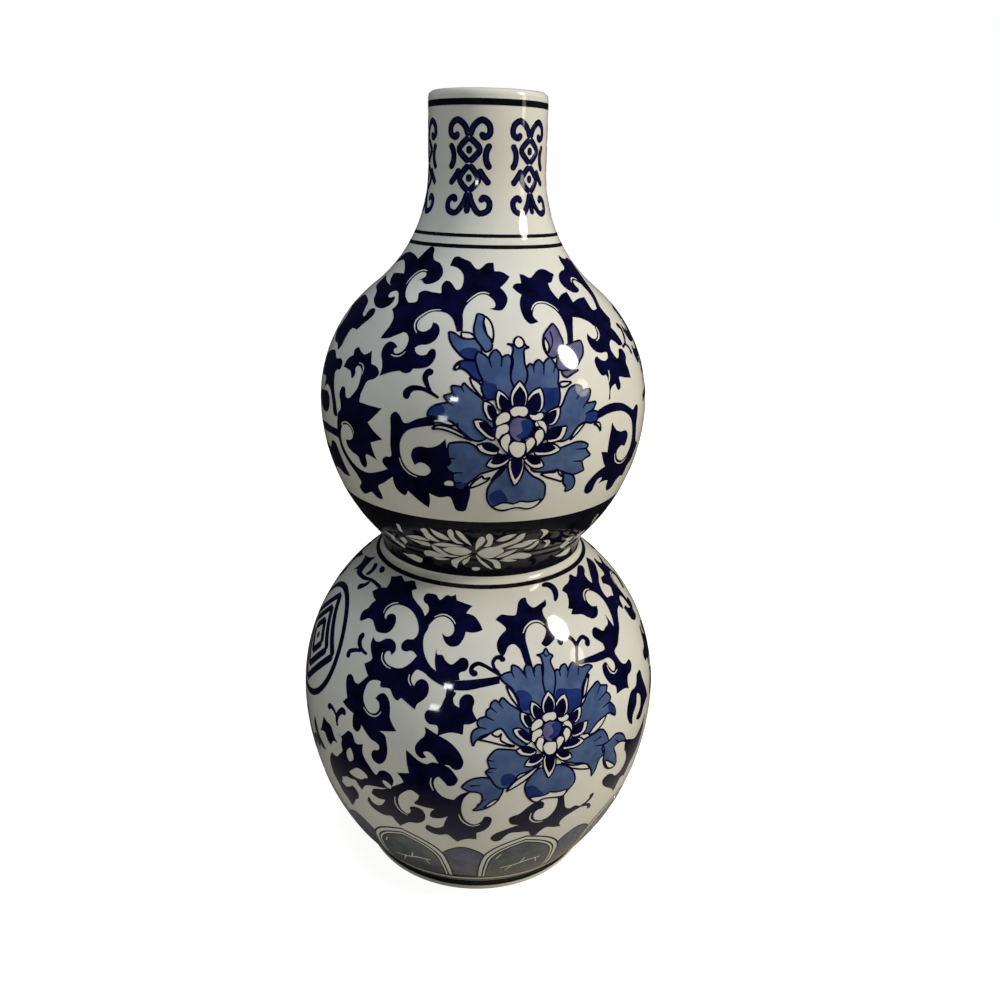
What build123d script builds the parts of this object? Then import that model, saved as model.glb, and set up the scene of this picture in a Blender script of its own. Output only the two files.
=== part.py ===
from build123d import *
import os
from math import sqrt

# Double gourd vase, luted together from turned porcelain sections.
# Millimetres, +Z up, origin at the middle of the foot.

wall = 4.4  # square to the surface

# Foot ring and base
foot_radius = 57.0
foot_height = 5.0  # foot ring with its slip
foot_width = 9.0
foot_edge_round = 1.6
base_thickness = 5.0
base_overlap = 2.0  # of the base on the foot ring
base_clearance = 0.2  # round the edge of the base

# Lower bulb, whose widest line stands belly_rise over the foot
belly_radius = 86.0
belly_rise = 81.0

# Waist, waist_rise over the widest line, with outside fillets below and above its narrowest line
waist_radius = 46.5
waist_rise = 73.5
crease_radius = 2.1
flare_radius = 18.2

# Upper bulb, whose widest line stands bulb_rise over the waist
bulb_radius = 72.5
bulb_rise = 68.5

# Neck, which sweeps up from the bulb for neck_rise and then stands straight to the lip
neck_radius = 24.4
neck_rise = 98.5
neck_length = 28.5
sweep_radius = 60.4
neck_seam_share = 0.46  # of the sweep's height
lip_round = 1.8

# Luted seams: a spigot on the lower section, a socket in the upper one, slip round the outside
slip_thickness = 0.8
spigot_height = 3.0
spigot_clearance = 0.2
spigot_share = 0.5  # of the wall

overrun = 5.0  # of cuts past the outside

# Heights over the plane that the vase stands on
belly_height = foot_height + belly_rise
waist_height = belly_height + waist_rise
bulb_height = waist_height + bulb_rise
neck_height = bulb_height + neck_rise
total_height = neck_height + neck_length

belly = Vector(belly_radius, belly_height)
waist = Vector(waist_radius, waist_height)
bulb = Vector(bulb_radius, bulb_height)
neck = Vector(neck_radius, neck_height)
toe = Vector(foot_radius, foot_height)


def upright_radius(wide, narrow):
    # Radius of the arc that leaves the wide point upright and passes through the narrow one.
    across = wide.X - narrow.X
    return (across**2 + (wide.Y - narrow.Y) ** 2) / (2 * across)


def arc_about(centre, start, end):
    middle = centre + (start + end - centre - centre).normalized() * (start - centre).length
    return ThreePointArc(start, middle, end)


def meeting_point(wide, narrow, fillet_radius, inset):
    # Where the round of a bulb meets the fillet of a narrow place, the inset under the outside.
    both_radii = upright_radius(wide, narrow)
    round_radius = both_radii - fillet_radius
    round_centre = wide - Vector(round_radius, 0)
    fillet_centre = narrow + Vector(fillet_radius, 0)
    way = (fillet_centre - round_centre) * ((round_radius - inset) / both_radii)
    return round_centre, fillet_centre, round_centre + way


def bulb_to_narrow(wide, narrow, fillet_radius, inset):
    # Two tangent arcs, upright at both ends: the round of the bulb, then the fillet.
    depth = Vector(inset, 0)
    round_centre, fillet_centre, meeting = meeting_point(wide, narrow, fillet_radius, inset)
    round_arc = arc_about(round_centre, wide - depth, meeting)
    return [round_arc, arc_about(fillet_centre, meeting, narrow - depth)]


def wall_side(inset, foot_point):
    # One side of the wall, from the foot to the straight neck.
    depth = Vector(inset, 0)
    flank_centre = belly - Vector(upright_radius(belly, toe), 0)
    flank = arc_about(flank_centre, foot_point, belly - depth)
    shoulder = bulb_to_narrow(belly, waist, crease_radius, inset)
    underside = bulb_to_narrow(bulb, waist, flare_radius, inset)
    crown = bulb_to_narrow(bulb, neck, sweep_radius, inset)
    return [flank] + shoulder + underside + crown


def lip():
    # The straight neck on both sides of the wall, with the rounded lip between.
    bore_radius = neck_radius - wall
    round_height = total_height - lip_round
    outside = (neck_radius, round_height)
    outside_top = (neck_radius - lip_round, total_height)
    inside_top = (bore_radius + lip_round, total_height)
    inside = (bore_radius, round_height)
    return [
        Line(neck, outside),
        TangentArc(outside, outside_top, tangent=(0, 1)),
        Line(outside_top, inside_top),
        TangentArc(inside, inside_top, tangent=(0, 1)),
        Line(inside, (bore_radius, neck_height)),
    ]


# Section of the whole wall: toe, outside, lip, inside and the seat of the base
base_radius = foot_radius - foot_width + base_overlap
floor_height = foot_height + base_thickness
flank_radius = upright_radius(belly, toe)
inner_flank_reach = sqrt((flank_radius - wall) ** 2 - (belly_height - floor_height) ** 2)
floor_edge = Vector(belly_radius - flank_radius + inner_flank_reach, floor_height)
seat_radius = base_radius + base_clearance
seat = Polyline(toe, (seat_radius, foot_height), (seat_radius, floor_height), floor_edge)
wall_section = make_face(wall_side(0, toe) + lip() + wall_side(wall, floor_edge) + list(seat.edges()))

# Height of the neck's seam, and the wall there
sweep_start = meeting_point(bulb, neck, sweep_radius, 0)[2].Y
neck_seam_height = sweep_start + (neck_height - sweep_start) * neck_seam_share
sweep_rise = neck_height - neck_seam_height
neck_seam_outside = neck_radius + sweep_radius - sqrt(sweep_radius**2 - sweep_rise**2)
neck_seam_inside = neck_radius + sweep_radius - sqrt((sweep_radius + wall) ** 2 - sweep_rise**2)

reach = max(belly_radius, bulb_radius) + overrun


def seam_at(height, outside, inside):
    # Height of a seam and the radius of its socket.
    return Vector(inside + (outside - inside) * spigot_share, height)


belly_seam = seam_at(belly_height, belly_radius, belly_radius - wall)
waist_seam = seam_at(waist_height, waist_radius, waist_radius - wall)
bulb_seam = seam_at(bulb_height, bulb_radius, bulb_radius - wall)
neck_seam = seam_at(neck_seam_height, neck_seam_outside, neck_seam_inside)


def seam_line(seam, lift, clearance):
    # The stepped end of a section, from outside the vase in to its axis.
    step = seam.X - clearance
    spigot_top = seam.Y + spigot_height
    return [(reach, seam.Y + lift), (step, seam.Y + lift), (step, spigot_top), (0, spigot_top)]


def top_of(seam):
    return seam_line(seam, 0, spigot_clearance)


def bottom_on(seam):
    return seam_line(seam, slip_thickness, 0)


def spin(section):
    return revolve(Plane.XZ * section, Axis.Z)


def wall_between(bottom, top):
    region = make_face(Polyline(*bottom, *reversed(top), close=True))
    return spin(wall_section & region)


def slip_ring(seam):
    band = Pos(seam.X, seam.Y) * Rectangle(reach - seam.X, slip_thickness, align=Align.MIN)
    return spin(wall_section & band)


def foot_band(bottom, height):
    inner_radius = foot_radius - foot_width
    return Pos(inner_radius, bottom) * Rectangle(foot_width, height, align=Align.MIN)


ring_height = foot_height - slip_thickness
ring_section = foot_band(0, ring_height)
standing_corners = ring_section.vertices().group_by(Axis.Y)[0]
base_section = Pos(0, foot_height) * Rectangle(base_radius, base_thickness, align=Align.MIN)
below_foot = [(reach, 0), (0, 0)]
above_lip = [(reach, total_height + overrun), (0, total_height + overrun)]

pieces = {
    "foot_ring": spin(fillet(standing_corners, foot_edge_round)),
    "foot_slip": spin(foot_band(ring_height, slip_thickness)),
    "base_disc": spin(base_section),
    "lower_bowl": wall_between(below_foot, top_of(belly_seam)),
    "belly_slip": slip_ring(belly_seam),
    "lower_shoulder": wall_between(bottom_on(belly_seam), top_of(waist_seam)),
    "waist_slip": slip_ring(waist_seam),
    "upper_bowl": wall_between(bottom_on(waist_seam), top_of(bulb_seam)),
    "bulb_slip": slip_ring(bulb_seam),
    "upper_shoulder": wall_between(bottom_on(bulb_seam), top_of(neck_seam)),
    "neck_slip": slip_ring(neck_seam),
    "neck": wall_between(bottom_on(neck_seam), above_lip),
}

os.makedirs("parts", exist_ok=True)
for name, piece in pieces.items():
    export_step(piece, f"parts/{name}.step")
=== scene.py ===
import math
import bpy
import numpy as np
from mathutils import Euler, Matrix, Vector, geometry


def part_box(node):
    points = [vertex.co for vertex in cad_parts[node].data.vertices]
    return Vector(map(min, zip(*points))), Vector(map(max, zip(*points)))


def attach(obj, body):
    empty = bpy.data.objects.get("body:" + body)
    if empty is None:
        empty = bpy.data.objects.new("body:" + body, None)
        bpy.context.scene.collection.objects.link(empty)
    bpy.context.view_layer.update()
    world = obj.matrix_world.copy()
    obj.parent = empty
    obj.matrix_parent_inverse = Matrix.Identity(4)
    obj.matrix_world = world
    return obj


# Double gourd vase in blue and white: a glaze coat over the porcelain sections, and the painting on it.
# Sizes are millimetres, and the meshes metres. The painting is drawn on the unrolled wall: degrees round
# from the front, positive to the right, and millimetres up the wall from the foot.

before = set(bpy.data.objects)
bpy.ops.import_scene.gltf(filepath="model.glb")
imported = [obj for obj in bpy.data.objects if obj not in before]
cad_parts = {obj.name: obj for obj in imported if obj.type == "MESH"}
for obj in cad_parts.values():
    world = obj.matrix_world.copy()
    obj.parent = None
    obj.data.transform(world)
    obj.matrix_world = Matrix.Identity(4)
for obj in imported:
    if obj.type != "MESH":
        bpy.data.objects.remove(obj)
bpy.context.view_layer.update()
millimetre = 0.001
scene = bpy.context.scene
scene.view_settings.view_transform = "Standard"
print("frame loaded:", len(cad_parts), "nodes")


# The wall's outline, with the driving sizes of the solids
outline = dict(
    footRadius=57.0, footHeight=5.0, bellyRadius=86.0, bellyRise=81.0, waistRadius=46.5, waistRise=73.5,
    creaseRadius=2.1, flareRadius=18.2, bulbRadius=72.5, bulbRise=68.5, neckRadius=24.4, neckRise=98.5,
    neckLength=28.5, sweepRadius=60.4, lipRound=1.8, wall=4.4, boreReach=10.0, step=0.1)
leastGap = 1e-6  # millimetres; points closer than this count as one, and no gap is less
tiny = 1e-9  # stands for zero where it is divided by


def arcRun(centreR, centreZ, radius, start, end, facing):
    # Points on an arc about a centre, and the way out of the wall: from the centre, or to it in a hollow.
    count = int(abs(end - start) * radius / outline["step"]) + 2
    turn = np.linspace(start, end, count)
    return np.stack([centreR + radius * np.cos(turn), centreZ + radius * np.sin(turn),
                     facing * np.cos(turn), facing * np.sin(turn)], 1)


def lineRun(startR, startZ, endR, endZ, outR, outZ):
    count = int(math.hypot(endR - startR, endZ - startZ) / outline["step"]) + 2
    share = np.linspace(0, 1, count)
    flat = np.ones(count)
    return np.stack([startR + (endR - startR) * share, startZ + (endZ - startZ) * share,
                     outR * flat, outZ * flat], 1)


def bulbToNarrow(wideR, wideZ, narrowR, narrowZ, fillet):
    # Two tangent arcs, upright at both ends: the round of a bulb, then the hollow of a narrow place.
    across = wideR - narrowR
    rise = narrowZ - wideZ
    both = (across ** 2 + rise ** 2) / (2 * across)
    turn = math.asin(rise / both)
    rounded = arcRun(wideR - both + fillet, wideZ, both - fillet, 0, turn, 1)
    hollow = arcRun(narrowR + fillet, narrowZ, fillet, turn + math.pi, math.pi, -1)
    return np.concatenate([rounded, hollow])


def wallOutline(o):
    # The outside from the foot's standing edge up, over the lip and down the bore.
    bellyZ = o["footHeight"] + o["bellyRise"]
    waistZ = bellyZ + o["waistRise"]
    bulbZ = waistZ + o["bulbRise"]
    neckZ = bulbZ + o["neckRise"]
    topZ = neckZ + o["neckLength"]
    across = o["bellyRadius"] - o["footRadius"]
    flank = (across ** 2 + o["bellyRise"] ** 2) / (2 * across)
    lip = o["lipRound"]
    bore = o["neckRadius"] - o["wall"]
    runs = [
        lineRun(o["footRadius"], 0, o["footRadius"], o["footHeight"], 1, 0),
        arcRun(o["bellyRadius"] - flank, bellyZ, flank, -math.asin(o["bellyRise"] / flank), 0, 1),
        bulbToNarrow(o["bellyRadius"], bellyZ, o["waistRadius"], waistZ, o["creaseRadius"]),
        bulbToNarrow(o["bulbRadius"], bulbZ, o["waistRadius"], waistZ, o["flareRadius"])[::-1],
        bulbToNarrow(o["bulbRadius"], bulbZ, o["neckRadius"], neckZ, o["sweepRadius"]),
        lineRun(o["neckRadius"], neckZ, o["neckRadius"], topZ - lip, 1, 0),
        arcRun(o["neckRadius"] - lip, topZ - lip, lip, 0, math.pi / 2, 1),
        lineRun(o["neckRadius"] - lip, topZ, bore + lip, topZ, 0, 1),
        arcRun(bore + lip, topZ - lip, lip, math.pi / 2, math.pi, 1),
        lineRun(bore, topZ - lip, bore, neckZ - o["boreReach"], -1, 0),
    ]
    points = np.concatenate(runs)
    gap = np.hypot(np.diff(points[:, 0]), np.diff(points[:, 1]))
    points = points[np.concatenate([[True], gap > leastGap])]
    along = np.concatenate([[0], np.cumsum(np.hypot(np.diff(points[:, 0]), np.diff(points[:, 1])))])
    return along, points


wallAlong, wallPoints = wallOutline(outline)


def wallAt(along):
    # Radius, height and way out of the wall at a length up it.
    return [np.interp(along, wallAlong, wallPoints[:, k]) for k in range(4)]


def onVase(degrees, along, lift):
    # The point at an angle round and a length up the wall, raised off it by the lift, and the way out there.
    radius, height, outR, outZ = wallAt(along)
    turn = np.radians(degrees)
    reach = radius + lift * outR
    place = np.stack([reach * np.sin(turn), -reach * np.cos(turn), height + lift * outZ], -1) * millimetre
    away = np.stack([outR * np.sin(turn), -outR * np.cos(turn), outZ], -1)
    return place, away / np.linalg.norm(away, axis=-1, keepdims=True)


# The camera of the photograph: place and nearest sight in metres, turns in degrees, lens and sensor in
# millimetres, and the picture's width in pixels
view = dict(place=(0, -0.4011, 0.32256), pitch=19.69, yaw=1.225, roll=1.345, lens=32.4, sensor=36.0,
            pixels=1000, nearest=0.01)
tilt = Euler((math.radians(90 - view["pitch"]), 0, math.radians(-view["yaw"])), "XYZ").to_matrix()
cameraTurn = tilt @ Euler((0, 0, math.radians(view["roll"])), "XYZ").to_matrix()

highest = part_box("neck")[1]
print("outline against the solids, mm:", round(wallPoints[:, 1].max() - highest[2] / millimetre, 3))


# Materials

def linearColour(code):
    # sRGB hex to linear, with alpha 1.
    parts = [int(code[k:k + 2], 16) / 255 for k in (1, 3, 5)]
    return tuple(c / 12.92 if c <= 0.04045 else ((c + 0.055) / 1.055) ** 2.4 for c in parts) + (1.0,)


def addNode(tree, kind, inputs=(), **settings):
    # One node, with its settings, and its inputs set or linked.
    node = tree.nodes.new(kind)
    for key, value in settings.items():
        setattr(node, key, value)
    for key, value in dict(inputs).items():
        if isinstance(value, bpy.types.NodeSocket):
            tree.links.new(value, node.inputs[key])
        else:
            node.inputs[key].default_value = value
    return node


def perMillimetre(size):
    # Texture scale that gives a pattern of that size in millimetres on metre coordinates.
    return 1.0 / (size * millimetre)


def emptyTree(owner):
    # The node tree of a material or world, with nothing in it yet.
    owner.use_nodes = True
    owner.node_tree.nodes.clear()
    return owner.node_tree


def glazedMaterial(name, look):
    # Fired glaze over porcelain or painting: a smooth glassy skin that shows lamps as sharp highlights,
    # with slow changes of tone where the paint or glaze pooled.
    material = bpy.data.materials.new(name)
    tree = emptyTree(material)
    place = addNode(tree, "ShaderNodeTexCoord").outputs["Object"]
    noise = {}
    for kind in ("pool", "grain", "ripple"):
        noise[kind] = addNode(tree, "ShaderNodeTexNoise", {
            "Vector": place, "Scale": perMillimetre(look[kind + "Size"]), "Detail": look[kind + "Detail"],
            "Roughness": look[kind + "Rough"]}).outputs["Fac"]
    spread = addNode(tree, "ShaderNodeMapRange", {
        "Value": noise["pool"], "From Min": look["toneFrom"], "From Max": look["toneTo"]})
    tone = addNode(tree, "ShaderNodeMix", {
        "Factor": spread.outputs["Result"], "A": linearColour(look["thick"]),
        "B": linearColour(look["thin"])}, data_type="RGBA")
    speck = addNode(tree, "ShaderNodeMapRange", {
        "Value": noise["grain"], "From Min": look["speckFrom"],
        "From Max": look["speckFrom"] + look["speckSoft"]})
    colour = addNode(tree, "ShaderNodeMix", {
        "Factor": speck.outputs["Result"], "A": tone.outputs["Result"],
        "B": linearColour(look["speck"])}, data_type="RGBA")
    bump = addNode(tree, "ShaderNodeBump", {
        "Height": noise["ripple"], "Strength": 1.0, "Distance": look["rippleDepth"] * millimetre})
    shader = addNode(tree, "ShaderNodeBsdfPrincipled", {
        "Base Color": colour.outputs["Result"], "Roughness": look["roughness"], "IOR": look["ior"],
        "Specular IOR Level": look["gloss"], "Normal": bump.outputs["Normal"]})
    output = addNode(tree, "ShaderNodeOutputMaterial", {"Surface": shader.outputs["BSDF"]})
    output.is_active_output = True
    return material


# What all glazes share: pattern sizes and ripple depth in millimetres, the noise's detail and roughness,
# where tones and specks begin and end, and gloss
glazeLook = dict(
    poolSize=34, poolDetail=3.0, poolRough=0.55, grainSize=1.1, grainDetail=2.0, grainRough=0.6,
    rippleSize=9, rippleDetail=1.0, rippleRough=0.5, rippleDepth=0.012, toneFrom=0.34, toneTo=0.66,
    speckFrom=0.78, speckSoft=0.08, roughness=0.07, gloss=0.5, ior=1.5)
# White glaze with a grey-green cast, and a few iron specks
whiteGlaze = glazedMaterial("white_glaze", dict(
    glazeLook, thick="#d4d7d1", thin="#dddfd8", speck="#8f8a76"))
# Heavy cobalt, nearly black where it pooled and violet-blue where the brush ran thin
heavyCobalt = glazedMaterial("underglaze_cobalt", dict(
    glazeLook, poolSize=7, grainSize=1.4, thick="#04041a", thin="#0d0c38", speck="#17154c", speckFrom=0.66))
# Cobalt thinned with water for the petals: mid blue, mottled
cobaltWash = glazedMaterial("cobalt_wash", dict(
    glazeLook, poolSize=8, grainSize=1.2, thick="#3d5380", thin="#546a92", speck="#374a74", speckFrom=0.8))
# A second coat of it: deeper blue patches in the petals
deepWash = glazedMaterial("deep_cobalt_wash", dict(
    glazeLook, poolSize=6, grainSize=1.2, thick="#182a66", thin="#243a78", speck="#122052", speckFrom=0.8))
# Dark wash that shows blue along the middle of the neck's strokes
inkWash = glazedMaterial("dark_cobalt_wash", dict(
    glazeLook, poolSize=5, grainSize=1.2, thick="#0c1038", thin="#1a2150", speck="#090c2c", speckFrom=0.8))
# Black-blue of the waist band, ruled lines and lappets, where so much cobalt dulls the glaze
bandGround = glazedMaterial("cobalt_ground", dict(
    glazeLook, poolSize=9, grainSize=1.2, thick="#0a0b14", thin="#14161f", speck="#1f2238", speckFrom=0.66,
    gloss=0.2))
# Grey-blue wash of the foot panels
footWash = glazedMaterial("grey_wash", dict(
    glazeLook, poolSize=6, grainSize=1.2, thick="#3d4650", thin="#566069", speck="#666e75", speckFrom=0.7))
# Violet wash of a few petals and of the flowers' middles
violetWash = glazedMaterial("violet_wash", dict(
    glazeLook, poolSize=6, grainSize=1.2, thick="#52527c", thin="#686791", speck="#43426a", speckFrom=0.8))
# Dusky violet-grey wash of the arches between the foot panels
duskWash = glazedMaterial("dusk_wash", dict(
    glazeLook, poolSize=9, grainSize=1.2, thick="#3c4159", thin="#575a7c", speck="#34384f", speckFrom=0.8))
# Bare fired porcelain: chalky, a little rough
biscuit = glazedMaterial("bare_porcelain", dict(
    glazeLook, poolSize=20, grainSize=0.8, thick="#cfc6b4", thin="#ded7c8", speck="#a89a80", speckFrom=0.7,
    rippleSize=0.7, rippleDepth=0.03, roughness=0.75))
print("materials ready")

bareNodes = {"foot_ring": biscuit, "foot_slip": biscuit}
for nodeName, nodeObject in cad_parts.items():
    nodeObject.data.materials.clear()
    nodeObject.data.materials.append(bareNodes.get(nodeName, whiteGlaze))


# Meshes

def addPiece(name, vertices, faces, away, material, slot):
    # A mesh of its own at the origin, smooth, with the wall's own way out at each point.
    mesh = bpy.data.meshes.new(name)
    mesh.from_pydata(vertices.tolist(), [], faces)
    mesh.shade_smooth()
    mesh.normals_split_custom_set_from_vertices(away.tolist())
    mesh.materials.append(material)
    piece = bpy.data.objects.new(name, mesh)
    scene.collection.objects.link(piece)
    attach(piece, "root")
    print(name, len(faces), "faces")


def turnedBand(start, end, rows, lift, sink, around=256):
    # A closed skin round the whole vase: up the wall at the lift, back down it at the sink.
    up = np.linspace(start, end, rows)
    along = np.concatenate([up, up[::-1]])[:, None]
    raised = np.concatenate([np.full(rows, lift), np.full(rows, sink)])[:, None]
    degrees = np.linspace(0, 360, around, endpoint=False)[None, :]
    vertices, away = onVase(degrees + along * 0, along + degrees * 0, raised)
    index = np.arange(2 * rows * around).reshape(2 * rows, around)
    above = np.roll(index, -1, axis=0)
    faces = np.stack([index, np.roll(index, -1, 1), np.roll(above, -1, 1), above], -1).reshape(-1, 4)
    return vertices.reshape(-1, 3), faces.tolist(), away.reshape(-1, 3)


glaze = dict(start=1.4, lift=0.15, sink=-0.3, rows=270)
coat = turnedBand(glaze["start"], wallAlong[-1], glaze["rows"], glaze["lift"], glaze["sink"])
addPiece("glaze_coat", *coat, whiteGlaze, "white_glaze")


# Painting: every stroke is a thin closed film on the glaze, and a pot collects the strokes of one piece.
# Layers are millimetres off the wall; petals lie a step over each other, with their shade and line between.

layers = dict(sink=0.08, under=0.18, ink=0.21, wash=0.24, deep=0.26, edge=0.29, strip=0.31, stripEdge=0.33,
              point=0.35, step=0.03, shadeStep=0.01, lineStep=0.02, points=0.44, ring=0.54, bead=0.555,
              beadShade=0.565, beadLine=0.575)
# A stroke's film: millimetres between rows and columns, the fewest and most of them, the least half widths
# of its length and of its round ends, and how much its rows gather at the ends
film = dict(rowGap=0.9, rowsMore=9, rows=(11, 130), columnGap=1.3, columns=(3, 18), finest=0.03,
            roundEnd=0.02, gather=0.12)
pots = {}


def addToPot(pot, places, faces, aways):
    # Faces count from the first of these points.
    store = pots.setdefault(pot, dict(places=[], aways=[], faces=[], count=0))
    store["places"].append(places)
    store["aways"].append(aways)
    store["faces"].extend([corner + store["count"] for corner in face] for face in faces)
    store["count"] += len(places)


def emptyPot(pot, material, slot):
    store = pots.pop(pot)
    places, aways = (np.concatenate(store[key]) for key in ("places", "aways"))
    addPiece(pot, places, store["faces"], aways, material, slot)


def lay(pot, grid, layer, turns=(0, 180)):
    # The film over a grid of chart points (rows along the stroke, columns from its left to its right).
    rows, columns = grid.shape[:2]
    rim = grid[:, [-1, 0]]
    index = np.arange(rows * (columns + 2)).reshape(rows, columns + 2)
    beside = np.roll(index, -1, 1)
    quads = np.stack([index[:-1], beside[:-1], beside[1:], index[1:]], -1).reshape(-1, 4)
    faces = quads.tolist() + [index[0][::-1].tolist(), index[-1].tolist()]
    for turn in turns:
        topPlace, topAway = onVase(grid[..., 0] + turn, grid[..., 1], layers.get(layer, layer))
        rimPlace, rimAway = onVase(rim[..., 0] + turn, rim[..., 1], layers["sink"])
        places = np.concatenate([topPlace, rimPlace], 1).reshape(-1, 3)
        addToPot(pot, places, faces, np.concatenate([topAway, rimAway], 1).reshape(-1, 3))


def chartLengths(points):
    # Millimetres between chart points that follow each other.
    radius = wallAt(points[:, 1])[0]
    across = np.radians(np.diff(points[:, 0])) * (radius[1:] + radius[:-1]) / 2
    return np.hypot(across, np.diff(points[:, 1])) + leastGap


def smoothRun(points, count):
    # A cubic through the points with slopes from their neighbours, closer together near the two ends.
    points = np.array(points, float)
    gaps = chartLengths(points)
    at = np.concatenate([[0], np.cumsum(gaps)])
    slopes = np.diff(points, axis=0) / gaps[:, None]
    if len(points) == 2:
        tangents = np.repeat(slopes, 2, axis=0)
    else:
        before, after = gaps[:-1, None], gaps[1:, None]
        inner = (slopes[:-1] * after + slopes[1:] * before) / (before + after)
        first, last = (1.5 * slopes[k] - 0.5 * inner[k] for k in (0, -1))
        tangents = np.concatenate([[first], inner, [last]])
    share = np.linspace(0, 1, count)
    where = at[-1] * (share - film["gather"] * np.sin(2 * np.pi * share))
    part = np.clip(np.searchsorted(at, where, side="right") - 1, 0, len(gaps) - 1)
    u = ((where - at[part]) / gaps[part])[:, None]
    h = gaps[part][:, None]
    return ((1 + 2 * u) * (1 - u) ** 2 * points[part] + u * (1 - u) ** 2 * h * tangents[part]
            + u ** 2 * (3 - 2 * u) * points[part + 1] + u ** 2 * (u - 1) * h * tangents[part + 1])


def runSides(run):
    # Radius, the way to the left of the run, and the length covered.
    radius = wallAt(run[:, 1])[0]
    across = np.gradient(np.radians(run[:, 0])) * radius
    along = np.gradient(run[:, 1])
    size = np.hypot(across, along) + tiny
    return radius, -along / size, across / size, np.concatenate([[0], np.cumsum(chartLengths(run))])


def brush(points):
    # A stroke through (degrees, up, width) points with round ends.
    points = np.array(points, float)
    length = chartLengths(points).sum()
    run = smoothRun(points, int(np.clip(length / film["rowGap"] + film["rowsMore"], *film["rows"])))
    radius, leftX, leftY, covered = runSides(run)
    half = np.maximum(run[:, 2], 0) / 2
    near = np.minimum(covered, covered[-1] - covered)
    inward = np.clip(near / np.maximum(half, film["roundEnd"]), 0, 1)
    half = half * np.sqrt(np.clip(1 - (1 - inward) ** 2, 0, 1))
    half = np.maximum(half, film["finest"])
    columns = int(np.clip(2 * half.max() / film["columnGap"] + film["columns"][0], *film["columns"]))
    side = np.linspace(1, -1, columns)[None, :] * half[:, None]
    return np.stack([run[:, 0, None] + np.degrees(leftX[:, None] * side / radius[:, None]),
                     run[:, 1, None] + leftY[:, None] * side], -1)


# Ruled rings and bands: (from, to) up the wall, and their films in millimetres and corners
rings = dict(
    lines=[(390.4, 392.8), (340.7, 342.1), (336.0, 337.6), (174.5, 176.6), (16.2, 18.6)],
    footBand=(3.0, 12.8), waistBand=(180.6, 218.2), lift=0.22, sink=0.05, rowGap=1.2, leastRows=3,
    around=288)


def ringPiece(name, spans, material):
    for low, high in spans:
        rows = max(rings["leastRows"], int((high - low) / rings["rowGap"]))
        addToPot(name, *turnedBand(low, high, rows, rings["lift"], rings["sink"], rings["around"]))
    emptyPot(name, material, "cobalt")


ringPiece("ruled_lines", rings["lines"] + [rings["footBand"]], bandGround)
ringPiece("waist_band", [rings["waistBand"]], bandGround)


def outlineRun(points, gap=0.8, perPoint=12, closest=0.05):
    # The closed line through chart points, smooth but for the sharp ones, which have a third number.
    sharp = [k for k, point in enumerate(points) if len(point) > 2]
    places = [point[:2] for point in points]
    if not sharp:
        around = places[-2:] + places + places[:3]
        run = smoothRun([p + (0,) for p in around], perPoint * len(around))
        at = np.concatenate([[0], np.cumsum(chartLengths(np.array([p + (0,) for p in around], float)))])
        covered = np.concatenate([[0], np.cumsum(chartLengths(run))])
        covered = covered * at[-1] / covered[-1]
        pieces = [run[(covered >= at[2]) & (covered < at[-3])]]
    else:
        turned = places[sharp[0]:] + places[:sharp[0]] + [places[sharp[0]]]
        breaks = [k - sharp[0] for k in sharp] + [len(places)]
        pieces = []
        for first, last in zip(breaks[:-1], breaks[1:]):
            part = np.array([p + (0,) for p in turned[first:last + 1]], float)
            count = max(3, int(chartLengths(part).sum() / gap) + 2)
            pieces.append(smoothRun(part, count))
    line = np.concatenate(pieces)[:, :2]
    return line[np.concatenate([[True], chartLengths(line) > closest])], pieces


def insideLine(line, spots):
    # Whether each spot is inside a closed line: a ray to the right crosses it an odd number of times.
    ahead = np.roll(line, -1, axis=0)
    x, y = spots[:, 0, None], spots[:, 1, None]
    crosses = (line[None, :, 1] > y) != (ahead[None, :, 1] > y)
    rise = np.where(ahead[:, 1] == line[:, 1], tiny, ahead[:, 1] - line[:, 1])
    meets = line[None, :, 0] + (y - line[None, :, 1]) / rise[None, :] * (ahead - line)[None, :, 0]
    return ((crosses & (x < meets)).sum(1) % 2) == 1


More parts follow.
